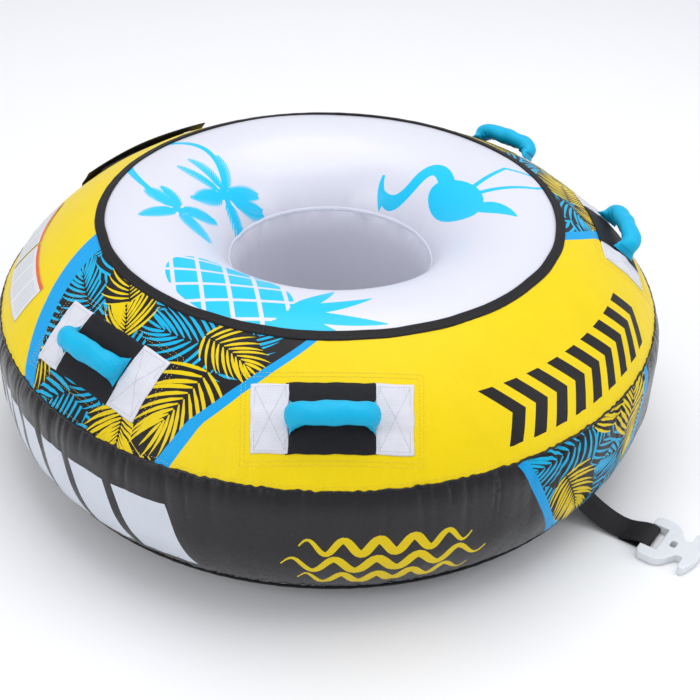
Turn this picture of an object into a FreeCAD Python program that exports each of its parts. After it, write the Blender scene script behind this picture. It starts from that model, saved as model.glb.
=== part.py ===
"""Single-rider towable tube: an inflated PVC bladder in a zipped nylon cover, with four padded
grips, a tow strap and a moulded tow connector.

Frame: +Z up, origin on the tube's axis at floor level. Azimuth 0 is the front (-Y) and grows
towards +X. The tube's section is described by its outer surface; panels are layers measured
from that surface, inwards when negative. Lengths are in millimetres and angles in degrees.
"""
import FreeCAD, Part
import math
import os
from collections import namedtuple
from FreeCAD import Vector

os.makedirs("parts", exist_ok=True)

# ---- Driving dimensions of the inflated tube ----
OUTER_RADIUS = 560.0
CREST_RADIUS = 314.0
CREST_HEIGHT = 411.0
HOLE_RADIUS = 160.0
CROWN_BEND = 187.0
BINDING_ANGLE = 22.0
TOP_PANEL_BEND = 352.0
SEAM_ANGLE = 57.4
LOWER_BEND = 158.0
HOLE_LOWER_BEND = 106.0
UPPER_WELD_ANGLE = -70.7
LOWER_WELD_ANGLE = 250.0
LOWER_SEAM_ANGLE = 134.0
BOTTOM_OPENING_ANGLE = 210.0

# ---- Layers of the wall ----
COVER_THICKNESS = 1.5
BLADDER_OUTSIDE = -2.0
BLADDER_THICKNESS = 1.5
LAYER_GAP = 0.4
WELD_WIDTH_ANGLE = 2.4
WELD_HEIGHT = 0.8
BINDING_WIDTH = 15.0
BINDING_HEIGHT = 1.2

# ---- Grips: places round the tube, and one grip's own sizes ----
GRIP_AZIMUTHS = {"left": -43.8, "front": 0.8, "right": 94.0, "rear": 138.0}
GRIP_SLOPE = 41.0
PAD_HALF_LENGTH = 58.6
PATCH_INNER = 59.0
PATCH_OUTER = 112.0
PATCH_HALF_HEIGHT = 50.0
PAD_THICKNESS = 3.0
PATCH_THICKNESS = 3.2
GRIP_HALF_SPAN = 54.0
GRIP_RISE = 34.0
GRIP_BEND = 20.0
GRIP_FOOT = 9.0
SLEEVE_RADIUS = 17.0
SLEEVE_THICKNESS = 1.2
FOAM_CLEARANCE = 0.3
WEBBING_WIDTH = 14.0
WEBBING_THICKNESS = 2.0
GRIP_PIVOT_HEIGHT = 4.2
GRIP_END_SLOPE = 35.0

# ---- Zipper and its flap, at the rear left ----
ZIPPER_AZIMUTH = -132.8
ZIPPER_HALF_SPAN = 14.0
ZIPPER_SLOPE = 40.2
TAPE_HALF_WIDTH = 13.0
TAPE_THICKNESS = 1.0
COIL_HALF_WIDTH = 3.0
COIL_THICKNESS = 2.2
SLIDER_HALF_ANGLE = 1.0
SLIDER_HALF_WIDTH = 5.0
SLIDER_THICKNESS = 4.0
PULL_LENGTH = 18.0
PULL_WIDTH = 7.0
PULL_THICKNESS = 1.4
PULL_GAP = 0.6
FLAP_SLOPE = 41.5
FLAP_LENGTH = 280.0
FLAP_THICKNESS = 2.5
FLAP_HINGE = (-26.0, 6.0)
FLAP_EDGE = (26.0, 15.0)

# ---- Blank care labels on the left: azimuth ranges and slopes ----
LABEL_RANGES = {"front_label": (-86.0, -69.0), "rear_label": (-103.5, -87.0)}
LABEL_SLOPES = (40.0, 52.0)
LABEL_THICKNESS = 0.8

# ---- Tow strap and connector ----
TOW_AZIMUTH = 55.5
STRAP_WIDTH = 50.8
STRAP_THICKNESS = 2.4
ANCHOR_SLOPES = (141.0, 165.0)
STRAP_HINGE = (506.0, 34.0)
STRAP_GAP = 1.6
BAR_DISTANCE = 632.0
BAR_HEIGHT = 8.2
BAR_RADIUS = 5.0
LOOP_CLEARANCE = 0.4
CONNECTOR_THICKNESS = 15.0
CONNECTOR_WINDOW = 27.5
WINDOW_LENGTH = 28.0
WINDOW_REACH = 20.0
EYE_SIZE = (16.0, 10.0)
EYE_REACH = 43.0
EYE_CORNER = 4.5

# ---- Valve on the wall of the hole, at the front ----
VALVE_HEIGHT = 180.0
FLANGE_RADIUS = 24.0
FLANGE_THICKNESS = 3.0
NECK_RADIUS = 14.0
NECK_BORE = 9.5
NECK_LENGTH = 18.0
INSERT_LENGTH = 12.0
INSERT_BORE = 6.5
CAP_RADIUS = 15.5
CAP_THICKNESS = 4.0
PLUG_RADIUS = 6.2
PLUG_LENGTH = 5.0
CAP_GRIP = (4.0, 20.0, 3.0)
VALVE_FLAP_RADIUS = 8.0
VALVE_FLAP_THICKNESS = 1.2
SEAT_BAR = 2.0
TETHER_THICKNESS = 1.6
TETHER_RIM = 4.0
TETHER_TONGUE = (8.0, 14.0)
NECK_FRONT = FLANGE_THICKNESS + 5.0
SEAT_FRONT = FLANGE_THICKNESS + 4.6
SEAT_BACK = SEAT_FRONT - INSERT_LENGTH

# A segment of the section: an arc named by its outward normal's angle from +Z, or a straight run.
Bend = namedtuple("Bend", "r z radius start end")
Run = namedtuple("Run", "start end normal")


def sine(angle):
    return math.sin(math.radians(angle))


def cosine(angle):
    return math.cos(math.radians(angle))


def on_bend(bend, angle, offset=0.0):
    """The (radius, height) at an angle of a bend, offset outwards."""
    reach = bend.radius + offset
    return (bend.r + reach * sine(angle), bend.z + reach * cosine(angle))


def next_bend(bend, radius, end):
    """A bend that goes on from another one without a corner."""
    r, z = on_bend(bend, bend.end)
    return Bend(r - radius * sine(bend.end), z - radius * cosine(bend.end), radius, bend.end, end)


# ---- The section, from the hole over the crest, down the outside and back underneath ----
HOLE_TOP_BEND = CREST_RADIUS - HOLE_RADIUS
HOLE_TOP = Bend(CREST_RADIUS, CREST_HEIGHT - HOLE_TOP_BEND, HOLE_TOP_BEND, -90.0, 0.0)
CROWN = next_bend(HOLE_TOP, CROWN_BEND, BINDING_ANGLE)
TOP_PANEL = next_bend(CROWN, TOP_PANEL_BEND, SEAM_ANGLE)
SEAM_RADIUS = on_bend(TOP_PANEL, SEAM_ANGLE)[0]
SHOULDER_BEND = (OUTER_RADIUS - SEAM_RADIUS) / (1.0 - sine(SEAM_ANGLE))
SHOULDER = next_bend(TOP_PANEL, SHOULDER_BEND, 90.0)
SIDE = Run((OUTER_RADIUS, SHOULDER.z), (OUTER_RADIUS, LOWER_BEND), 90.0)
LOWER = Bend(OUTER_RADIUS - LOWER_BEND, LOWER_BEND, LOWER_BEND, 90.0, 180.0)
HOLE_LOWER = Bend(HOLE_RADIUS + HOLE_LOWER_BEND, HOLE_LOWER_BEND, HOLE_LOWER_BEND, 180.0, 270.0)
BOTTOM = Run((LOWER.r, 0.0), (HOLE_LOWER.r, 0.0), 180.0)
HOLE_WALL = Run((HOLE_RADIUS, HOLE_LOWER.z), (HOLE_RADIUS, HOLE_TOP.z), 270.0)


def part_of(bend, start, end):
    return bend._replace(start=start, end=end)


def space(point):
    """The point of the front half-plane at (radius, height)."""
    return Vector(0.0, -point[0], point[1])


def segment_ends(segment, offset):
    if isinstance(segment, Bend):
        return on_bend(segment, segment.start, offset), on_bend(segment, segment.end, offset)
    shift = (offset * sine(segment.normal), offset * cosine(segment.normal))
    moved = [(p[0] + shift[0], p[1] + shift[1]) for p in (segment.start, segment.end)]
    return moved[0], moved[1]


def segment_edge(segment, offset):
    first, last = segment_ends(segment, offset)
    if isinstance(segment, Run):
        return Part.LineSegment(space(first), space(last)).toShape()
    middle = on_bend(segment, (segment.start + segment.end) / 2.0, offset)
    return Part.Arc(space(first), space(middle), space(last)).toShape()


def layer_face(segments, inner, outer):
    """The flat section of a layer that follows the segments between two offsets."""
    edges = [segment_edge(s, outer) for s in segments]
    edges += [segment_edge(s, inner) for s in segments]
    for segment, end in ((segments[0], 0), (segments[-1], 1)):
        near = segment_ends(segment, inner)[end]
        far = segment_ends(segment, outer)[end]
        edges.append(Part.LineSegment(space(near), space(far)).toShape())
    return Part.Face(Part.Wire(Part.__sortEdges__(edges)))


def turn(shape, azimuth):
    """The shape moved round the tube's axis to an azimuth."""
    moved = shape.copy()
    moved.rotate(Vector(0, 0, 0), Vector(0, 0, 1), azimuth)
    return moved


def ring(segments, inner, outer):
    return layer_face(segments, inner, outer).revolve(Vector(0, 0, 0), Vector(0, 0, 1), 360)


def sector(segments, inner, outer, from_azimuth, to_azimuth):
    face = turn(layer_face(segments, inner, outer), from_azimuth)
    return face.revolve(Vector(0, 0, 0), Vector(0, 0, 1), to_azimuth - from_azimuth)


def bead(bend, angle, radius):
    """A round cord that runs round the tube, lying on the surface at an angle of a bend."""
    centre = space(on_bend(bend, angle, radius + LAYER_GAP))
    circle = Part.Wire(Part.makeCircle(radius, centre, Vector(1, 0, 0)))
    return Part.Face(circle).revolve(Vector(0, 0, 0), Vector(0, 0, 1), 360)


def angle_of(length, bend):
    return math.degrees(length / bend.radius)


def leaning_block(slope, along, up, out):
    """A block square to the top panel at one of its slopes, from three (low, high) pairs."""
    base = space(on_bend(TOP_PANEL, slope))
    outwards = Vector(0, -sine(slope), cosine(slope))
    upwards = Vector(0, cosine(slope), sine(slope))
    corners = [base + Vector(along[0], 0, 0) + upwards * u + outwards * w for u, w in
               ((up[0], out[0]), (up[1], out[0]), (up[1], out[1]), (up[0], out[1]))]
    face = Part.Face(Part.makePolygon(corners + corners[:1]))
    return face.extrude(Vector(along[1] - along[0], 0, 0))


# ---- Bladder ----
def bladder_layer(segments):
    return ring(segments, BLADDER_OUTSIDE - BLADDER_THICKNESS, BLADDER_OUTSIDE)


def bladder_top_panel():
    return bladder_layer([part_of(HOLE_TOP, UPPER_WELD_ANGLE, 0.0), CROWN, TOP_PANEL])


def bladder_outer_wall():
    return bladder_layer([SHOULDER, SIDE, part_of(LOWER, 90.0, LOWER_SEAM_ANGLE)])


def bladder_bottom_panel():
    outer = part_of(LOWER, LOWER_SEAM_ANGLE, 180.0)
    return bladder_layer([outer, BOTTOM, part_of(HOLE_LOWER, 180.0, LOWER_WELD_ANGLE)])


def bladder_inner_wall():
    lower = part_of(HOLE_LOWER, LOWER_WELD_ANGLE, 270.0)
    wall = bladder_layer([lower, HOLE_WALL, part_of(HOLE_TOP, -90.0, UPPER_WELD_ANGLE)])
    return wall.cut(valve_disc(FLANGE_RADIUS + LAYER_GAP, -20.0, 20.0))


def weld_ring(bend, angle):
    half = WELD_WIDTH_ANGLE / 2.0
    area = part_of(bend, angle - half, angle + half)
    return ring([area], BLADDER_OUTSIDE, BLADDER_OUTSIDE + WELD_HEIGHT)


# ---- Valve: its axis is horizontal, along +Y out of the wall and into the hole ----
def valve_disc(radius, start, end):
    """A cylinder on the valve's axis, between two distances into the hole from the wall."""
    base = Vector(0, -HOLE_RADIUS + BLADDER_OUTSIDE + start, VALVE_HEIGHT)
    return Part.makeCylinder(radius, end - start, base, Vector(0, 1, 0))


def valve_block(width, height, lowest, start, depth):
    """A block centred across the valve's axis, from a height above or below that axis."""
    block = Part.makeBox(width, depth, height)
    block.translate(Vector(-width / 2.0, -HOLE_RADIUS + BLADDER_OUTSIDE + start, VALVE_HEIGHT + lowest))
    return block


def valve_base():
    body = valve_disc(FLANGE_RADIUS, 0.0, FLANGE_THICKNESS)
    body = body.fuse(valve_disc(NECK_RADIUS, NECK_FRONT - NECK_LENGTH, NECK_FRONT))
    return body.cut(valve_disc(NECK_BORE, -NECK_LENGTH, NECK_LENGTH)).removeSplitter()


def valve_insert():
    """The pressed-in seat, with a thin cross bar behind its bore."""
    seat = valve_disc(NECK_BORE, SEAT_BACK, SEAT_FRONT).cut(valve_disc(INSERT_BORE, SEAT_BACK, SEAT_FRONT))
    bar = valve_block(2 * INSERT_BORE + 1.0, SEAT_BAR, -SEAT_BAR / 2.0, SEAT_BACK, SEAT_BAR)
    return seat.fuse(bar).removeSplitter()


def valve_flap():
    """The rubber disc that closes the seat from inside, hung from its top edge."""
    back = SEAT_BACK - LAYER_GAP
    return valve_disc(VALVE_FLAP_RADIUS, back - VALVE_FLAP_THICKNESS, back)


def valve_cap():
    face = NECK_FRONT + LAYER_GAP
    front = face + CAP_THICKNESS
    cap = valve_disc(CAP_RADIUS, face, front)
    plug = valve_disc(PLUG_RADIUS, face - PLUG_LENGTH, face + 1.0)
    width, height, depth = CAP_GRIP
    grip = valve_block(width, height, -height / 2.0, front - 0.5, depth)
    return cap.fuse([plug, grip]).removeSplitter()


def valve_tether():
    """The loop round the neck, with its tongue hanging below the cap."""
    start = FLANGE_THICKNESS + LAYER_GAP
    outside = NECK_RADIUS + TETHER_RIM
    loop = valve_disc(outside, start, start + TETHER_THICKNESS)
    width, height = TETHER_TONGUE
    tongue = valve_block(width, height, 2.0 - outside - height, start, TETHER_THICKNESS)
    neck_hole = valve_disc(NECK_RADIUS + LAYER_GAP, start, start + TETHER_THICKNESS)
    return loop.fuse(tongue).cut(neck_hole).removeSplitter()


# ---- Cover ----
def binding(bend, start, end):
    return ring([part_of(bend, start, end)], -COVER_THICKNESS, BINDING_HEIGHT)


def cover_bottom_panel():
    outer = part_of(LOWER, LOWER_SEAM_ANGLE, 180.0)
    inner = part_of(HOLE_LOWER, 180.0, BOTTOM_OPENING_ANGLE)
    return ring([outer, BOTTOM, inner], -COVER_THICKNESS, 0.0)


def label(azimuths):
    area = part_of(TOP_PANEL, LABEL_SLOPES[0], LABEL_SLOPES[1])
    return sector([area], LAYER_GAP, LAYER_GAP + LABEL_THICKNESS, azimuths[0], azimuths[1])


# ---- Grips, made at azimuth 0: X runs along the grip, "rise" is away from the panel ----
GRIP_BASE = space(on_bend(TOP_PANEL, GRIP_SLOPE))
GRIP_OUT = Vector(0, -sine(GRIP_SLOPE), cosine(GRIP_SLOPE))
GRIP_UP = Vector(0, cosine(GRIP_SLOPE), sine(GRIP_SLOPE))


def grip_point(along, up, rise):
    return GRIP_BASE + Vector(along, 0, 0) + GRIP_UP * up + GRIP_OUT * rise


def grip_block(along, up, rise):
    """A block that is square to the grip, from three (low, high) pairs."""
    return leaning_block(GRIP_SLOPE, along, up, rise)


def panel_piece(along, up, inner, outer):
    """A rectangle of a layer that lies on the curved top panel around the grip."""
    reach = angle_of(80.0, TOP_PANEL)
    area = part_of(TOP_PANEL, GRIP_SLOPE - reach, GRIP_SLOPE + reach)
    return sector([area], inner, outer, -20.0, 20.0).common(grip_block(along, up, (-30.0, 30.0)))


def knuckle_pad():
    along = (-PAD_HALF_LENGTH, PAD_HALF_LENGTH)
    up = (-PATCH_HALF_HEIGHT, PATCH_HALF_HEIGHT)
    return panel_piece(along, up, LAYER_GAP, LAYER_GAP + PAD_THICKNESS)


def webbing_tab(side, clearance):
    """The webbing's flat end under a patch, or the pocket for it when clearance is given."""
    along = sorted((side * (PATCH_INNER + 0.5 - clearance), side * (PATCH_OUTER - 12.0 + clearance)))
    half = WEBBING_WIDTH / 2.0 + clearance
    inner = LAYER_GAP - clearance
    return panel_piece(along, (-half, half), inner, LAYER_GAP + WEBBING_THICKNESS + clearance)


def patch(side):
    along = sorted((side * PATCH_INNER, side * PATCH_OUTER))
    half = PATCH_HALF_HEIGHT
    layer = panel_piece(along, (-half, half), LAYER_GAP, LAYER_GAP + PATCH_THICKNESS)
    return layer.cut(webbing_tab(side, 0.6))


def grip_bar(section):
    """A bar that rises from one foot, bends over and comes down to the other foot."""
    straight = GRIP_RISE - GRIP_BEND - GRIP_FOOT
    half_top = GRIP_HALF_SPAN - GRIP_BEND
    foot = section(grip_point(-GRIP_HALF_SPAN, 0.0, GRIP_FOOT))
    leg = foot.extrude(GRIP_OUT * straight)
    bend_start = section(grip_point(-GRIP_HALF_SPAN, 0.0, GRIP_FOOT + straight))
    pivot = grip_point(-half_top, 0.0, GRIP_RISE - GRIP_BEND)
    bend = bend_start.revolve(pivot, GRIP_UP, 90)
    top = bend_start.copy()
    top.rotate(pivot, GRIP_UP, 90)
    half_bar = leg.fuse([bend, top.extrude(Vector(half_top, 0, 0))])
    other_half = half_bar.mirror(Vector(0, 0, 0), Vector(1, 0, 0))
    return half_bar.fuse(other_half).removeSplitter()


def round_section(radius):
    return lambda centre: Part.Face(Part.Wire(Part.makeCircle(radius, centre, GRIP_OUT)))


def flat_section(width, thickness):
    def make(centre):
        across = Vector(thickness / 2.0, 0, 0)
        along = GRIP_UP * (width / 2.0)
        corners = [centre - across - along, centre + across - along,
                   centre + across + along, centre - across + along]
        return Part.Face(Part.makePolygon(corners + corners[:1]))
    return make


def tapered_ends(bar):
    """The bar with its feet cut to a roof shape, so that they clear the pad as the grip tilts."""
    reach = 60.0
    edge = GRIP_PIVOT_HEIGHT + reach * math.tan(math.radians(GRIP_END_SLOPE))
    top = edge + reach
    outline = [(0.0, GRIP_PIVOT_HEIGHT), (reach, edge), (reach, top), (-reach, top), (-reach, edge)]
    corners = [grip_point(-90.0, up, rise) for up, rise in outline]
    wedge = Part.Face(Part.makePolygon(corners + corners[:1])).extrude(Vector(180.0, 0, 0))
    return bar.common(wedge)


def grip_sleeve():
    outside = tapered_ends(grip_bar(round_section(SLEEVE_RADIUS)))
    return outside.cut(grip_bar(round_section(SLEEVE_RADIUS - SLEEVE_THICKNESS)))


def grip_foam():
    radius = SLEEVE_RADIUS - SLEEVE_THICKNESS - FOAM_CLEARANCE
    outside = tapered_ends(grip_bar(round_section(radius)))
    slot = flat_section(WEBBING_WIDTH + 2 * FOAM_CLEARANCE, WEBBING_THICKNESS + 2 * FOAM_CLEARANCE)
    return outside.cut(grip_bar(slot))


def grip_webbing():
    return grip_bar(flat_section(WEBBING_WIDTH, WEBBING_THICKNESS))


# ---- Zipper, made at azimuth 0 ----
def zipper_band(half_width, from_azimuth, to_azimuth, low, high):
    half = angle_of(half_width, TOP_PANEL)
    area = part_of(TOP_PANEL, ZIPPER_SLOPE - half, ZIPPER_SLOPE + half)
    return sector([area], low, high, from_azimuth, to_azimuth)


TAPE_TOP = LAYER_GAP + TAPE_THICKNESS
COIL_TOP = TAPE_TOP + COIL_THICKNESS
SLIDER_BASE = COIL_TOP + 0.3
SLIDER_TOP = SLIDER_BASE + SLIDER_THICKNESS
SLIDER_START = -ZIPPER_HALF_SPAN + 1.5


def zipper_tape():
    return zipper_band(TAPE_HALF_WIDTH, -ZIPPER_HALF_SPAN, ZIPPER_HALF_SPAN, LAYER_GAP, TAPE_TOP)


def zipper_coil():
    span = ZIPPER_HALF_SPAN - 0.6
    return zipper_band(COIL_HALF_WIDTH, -span, span, TAPE_TOP, COIL_TOP)


def zipper_slider():
    """The slider at the closed end of the zipper."""
    end = SLIDER_START + 2 * SLIDER_HALF_ANGLE
    return zipper_band(SLIDER_HALF_WIDTH, SLIDER_START, end, SLIDER_BASE, SLIDER_TOP)


def zipper_pull():
    """A flat tab that lies over the coil, just past the slider."""
    low = SLIDER_BASE + 0.4
    half = PULL_WIDTH / 2.0
    along = (PULL_GAP, PULL_GAP + PULL_LENGTH)
    tab = leaning_block(ZIPPER_SLOPE, along, (-half, half), (low, low + PULL_THICKNESS))
    return turn(tab, SLIDER_START + 2 * SLIDER_HALF_ANGLE)


def zipper_flap():
    """A stiff straight flap over the zipper, sewn along its lower edge; its upper edge is free."""
    base = space(on_bend(TOP_PANEL, FLAP_SLOPE))
    out = Vector(0, -sine(FLAP_SLOPE), cosine(FLAP_SLOPE))
    up = Vector(0, cosine(FLAP_SLOPE), sine(FLAP_SLOPE))
    hinge = base + up * FLAP_HINGE[0] + out * FLAP_HINGE[1]
    edge = base + up * FLAP_EDGE[0] + out * FLAP_EDGE[1]
    along = (edge - hinge).normalize()
    half = along.cross(Vector(1, 0, 0)) * (FLAP_THICKNESS / 2.0)
    near = hinge + along * 2.0
    corners = [near - half, edge - half, edge + half, near + half]
    flap = Part.Face(Part.makePolygon(corners + corners[:1])).extrude(Vector(FLAP_LENGTH, 0, 0))
    flap.translate(Vector(-FLAP_LENGTH / 2.0, 0, 0))
    return flap


# ---- Tow strap, made at azimuth 0: it runs out along -Y ----
def crosswise_cylinder(radius, half_length, centre):
    """A cylinder across the strap at a (radius, height) centre."""
    base = Vector(-half_length, -centre[0], centre[1])
    return Part.makeCylinder(radius, 2 * half_length, base, Vector(1, 0, 0))


def ribbon(route):
    """Webbing of the strap's thickness along straight runs, rounded where they meet."""
    half = STRAP_THICKNESS / 2.0
    solids = []
    for first, last in zip(route, route[1:]):
        run = (last[0] - first[0], last[1] - first[1])
        length = math.hypot(*run)
        side = (-run[1] / length * half, run[0] / length * half)
        quad = [(first[0] + side[0], first[1] + side[1]), (last[0] + side[0], last[1] + side[1]),
                (last[0] - side[0], last[1] - side[1]), (first[0] - side[0], first[1] - side[1])]
        corners = [Vector(-STRAP_WIDTH / 2.0, -r, z) for r, z in quad]
        face = Part.Face(Part.makePolygon(corners + corners[:1]))
        solids.append(face.extrude(Vector(STRAP_WIDTH, 0, 0)))
    for joint in route[1:-1]:
        solids.append(crosswise_cylinder(half, STRAP_WIDTH / 2.0, joint))
    return solids[0].fuse(solids[1:]).removeSplitter()


def tow_anchor():
    half = math.degrees(STRAP_WIDTH / 2.0 / on_bend(LOWER, ANCHOR_SLOPES[0])[0])
    area = part_of(LOWER, ANCHOR_SLOPES[0], ANCHOR_SLOPES[1])
    return sector([area], LAYER_GAP, LAYER_GAP + STRAP_THICKNESS, -half, half)


def tow_strap():
    """The strap from the lower seam to the floor, up over the connector's bar and back beneath."""
    floor = STRAP_THICKNESS / 2.0 + 0.2
    reach = BAR_RADIUS + LOOP_CLEARANCE + STRAP_THICKNESS / 2.0
    bar = (BAR_DISTANCE, BAR_HEIGHT)
    hinge = (STRAP_HINGE[0] + STRAP_GAP, STRAP_HINGE[1] - STRAP_GAP / 2.0)
    upper = [hinge, (548.0, 12.0), (578.0, floor + 1.0), (600.0, floor + STRAP_THICKNESS + 0.1),
             (bar[0] - 14.0, bar[1] + reach - 2.0), (bar[0], bar[1] + reach)]
    lower = [(602.0, floor), (bar[0], bar[1] - reach)]
    half = STRAP_WIDTH / 2.0
    past_bar = Part.makeBox(STRAP_WIDTH, 40.0, 40.0)
    past_bar.translate(Vector(-half, -bar[0] - 40.0, bar[1] - 20.0))
    turn_over = crosswise_cylinder(reach + STRAP_THICKNESS / 2.0, half, bar).common(past_bar)
    strap = ribbon(upper).fuse([ribbon(lower), turn_over])
    return strap.cut(crosswise_cylinder(BAR_RADIUS + LOOP_CLEARANCE, half, bar)).removeSplitter()


def connector_outline():
    """The connector's outline as (distance past the bar, sideways) points; arcs have three."""
    flank = [((-7.0, 40.0), (-4.0, 46.0), (3.0, 48.5)),
             ((3.0, 48.5), (18.0, 49.5)),
             ((18.0, 49.5), (32.0, 45.0), (42.0, 33.0)),
             ((42.0, 33.0), (49.0, 23.0)),
             ((49.0, 23.0), (55.0, 19.0), (61.0, 24.0)),
             ((61.0, 24.0), (61.0, 39.0)),
             ((61.0, 39.0), (67.0, 45.0), (73.0, 39.0))]
    mirrored = [tuple((out, -side) for out, side in item) for item in flank]
    heel = ((-7.0, -40.0), (-7.0, 40.0))
    nose = ((73.0, 39.0), (82.0, 0.0), (73.0, -39.0))
    return flank + mirrored + [heel, nose]


def tow_connector():
    """A flat hook with a crossbar in its window for the strap and two arms that hold a rope loop."""
    edges = []
    for item in connector_outline():
        corners = [Vector(side, -(BAR_DISTANCE + out), 0.0) for out, side in item]
        shape = Part.Arc(*corners) if len(corners) == 3 else Part.LineSegment(*corners)
        edges.append(shape.toShape())
    plate = Part.Face(Part.Wire(Part.__sortEdges__(edges))).extrude(Vector(0, 0, CONNECTOR_THICKNESS))
    window = Part.makeBox(2 * CONNECTOR_WINDOW, WINDOW_LENGTH, 40.0)
    window.translate(Vector(-CONNECTOR_WINDOW, -BAR_DISTANCE - WINDOW_REACH, -10.0))
    width, length = EYE_SIZE
    eye = Part.makeBox(width, length, 40.0)
    eye.translate(Vector(-width / 2.0, -BAR_DISTANCE - EYE_REACH, -10.0))
    eye = eye.makeFillet(EYE_CORNER, [e for e in eye.Edges if e.BoundBox.ZLength > 30.0])
    body = plate.cut([window, eye])
    body.translate(Vector(0, 0, BAR_HEIGHT - CONNECTOR_THICKNESS / 2.0))
    bar = crosswise_cylinder(BAR_RADIUS, CONNECTOR_WINDOW + 1.0, (BAR_DISTANCE, BAR_HEIGHT))
    return body.fuse(bar).removeSplitter()


def bladder_parts():
    return {"bladder_top_panel": bladder_top_panel(),
            "bladder_outer_wall": bladder_outer_wall(),
            "bladder_bottom_panel": bladder_bottom_panel(),
            "bladder_inner_wall": bladder_inner_wall(),
            "upper_weld_ring": weld_ring(HOLE_TOP, UPPER_WELD_ANGLE),
            "lower_weld_ring": weld_ring(HOLE_LOWER, LOWER_WELD_ANGLE),
            "valve_base": valve_base(),
            "valve_insert": valve_insert(),
            "valve_flap": valve_flap(),
            "valve_cap": valve_cap(),
            "valve_tether": valve_tether()}


def cover_parts():
    side = [SHOULDER, SIDE, part_of(LOWER, 90.0, LOWER_SEAM_ANGLE)]
    top_start = BINDING_ANGLE - angle_of(BINDING_WIDTH, CROWN)
    bottom_end = BOTTOM_OPENING_ANGLE + angle_of(BINDING_WIDTH, HOLE_LOWER)
    parts = {"cover_top_panel": ring([TOP_PANEL], -COVER_THICKNESS, 0.0),
             "cover_side_panel": ring(side, -COVER_THICKNESS, 0.0),
             "cover_bottom_panel": cover_bottom_panel(),
             "top_binding": binding(CROWN, top_start, BINDING_ANGLE),
             "bottom_binding": binding(HOLE_LOWER, BOTTOM_OPENING_ANGLE, bottom_end),
             "upper_seam_welt": bead(TOP_PANEL, SEAM_ANGLE, 1.2),
             "lower_seam_welt": bead(LOWER, LOWER_SEAM_ANGLE, 2.4)}
    for name, azimuths in LABEL_RANGES.items():
        parts[name] = label(azimuths)
    return parts


def zipper_parts():
    shapes = {"zipper_tape": zipper_tape(),
              "zipper_coil": zipper_coil(),
              "zipper_slider": zipper_slider(),
              "zipper_pull": zipper_pull(),
              "zipper_flap": zipper_flap()}
    return {name: turn(shape, ZIPPER_AZIMUTH) for name, shape in shapes.items()}


def grip_parts():
    shapes = {"knuckle_pad": knuckle_pad(),
              "patch_a": patch(-1),
              "patch_b": patch(1),
              "webbing_tabs": Part.makeCompound([webbing_tab(-1, 0.0), webbing_tab(1, 0.0)]),
              "grip_sleeve": grip_sleeve(),
              "grip_foam": grip_foam(),
              "grip_webbing": grip_webbing()}
    return {place + "_" + name: turn(shape, azimuth)
            for place, azimuth in GRIP_AZIMUTHS.items() for name, shape in shapes.items()}


def tow_parts():
    shapes = {"tow_anchor": tow_anchor(),
              "tow_strap": tow_strap(),
              "tow_connector": tow_connector()}
    return {name: turn(shape, TOW_AZIMUTH) for name, shape in shapes.items()}


def main():
    for group in (bladder_parts(), cover_parts(), zipper_parts(), grip_parts(), tow_parts()):
        for name, shape in group.items():
            shape.exportStep("parts/" + name + ".step")


main()
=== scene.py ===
"""Looks of the towable tube: bladder, printed cover, grips, zipper, tow strap and connector."""
import bpy
import math
import numpy as np
from mathutils import Matrix, Vector
from mathutils.geometry import delaunay_2d_cdt


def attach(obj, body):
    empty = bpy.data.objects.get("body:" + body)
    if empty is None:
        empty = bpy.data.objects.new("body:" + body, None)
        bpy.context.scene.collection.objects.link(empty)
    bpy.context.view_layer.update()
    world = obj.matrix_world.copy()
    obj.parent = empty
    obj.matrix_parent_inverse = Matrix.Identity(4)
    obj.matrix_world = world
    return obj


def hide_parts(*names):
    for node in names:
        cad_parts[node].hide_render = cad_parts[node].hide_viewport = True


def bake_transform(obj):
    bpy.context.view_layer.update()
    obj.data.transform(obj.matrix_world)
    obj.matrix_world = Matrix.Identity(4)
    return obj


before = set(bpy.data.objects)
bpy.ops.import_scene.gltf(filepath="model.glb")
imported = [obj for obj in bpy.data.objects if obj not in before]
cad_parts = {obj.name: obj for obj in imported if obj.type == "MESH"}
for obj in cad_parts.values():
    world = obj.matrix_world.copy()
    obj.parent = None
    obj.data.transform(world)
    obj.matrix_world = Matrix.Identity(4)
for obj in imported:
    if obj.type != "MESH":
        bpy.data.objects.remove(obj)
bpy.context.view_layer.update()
MM = 0.001

# ---------------------------------------------------------------- the tube's section, in mm
OUTER, HOLE = 560.0, 160.0
CREST_R, CREST_Z = 314.0, 411.0
HOLE_BEND, CROWN_BEND, TOP_BEND, HEEL_BEND, FOOT_BEND = 154.0, 187.0, 352.0, 158.0, 106.0
BINDING_PHI, SEAM_PHI, LOWER_SEAM_PHI = 22.0, 57.4, 134.0
VALVE_Z, VALVE_HOLE = 180.0, 24.3


def sin_cos(angle):
    """Sine and cosine of an angle in degrees."""
    return math.sin(math.radians(angle)), math.cos(math.radians(angle))


def arc(cr, cz, a, p0, p1):
    """Rows of (radius, height, normal) along an arc; angles run from straight up, outwards."""
    n = max(2, int(abs(p1 - p0) * math.pi / 180 * a / 0.25))
    p = np.radians(np.linspace(p0, p1, n))
    return np.column_stack([cr + a * np.sin(p), cz + a * np.cos(p), np.sin(p), np.cos(p)])


def line(p, q, phi):
    """The same rows along a straight stretch whose normal points at phi."""
    n = max(2, int(math.dist(p, q) / 0.25))
    t = np.linspace(0, 1, n)[:, None]
    rz = np.array(p) * (1 - t) + np.array(q) * t
    return np.column_stack([rz, np.tile(sin_cos(phi), (n, 1))])


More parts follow.
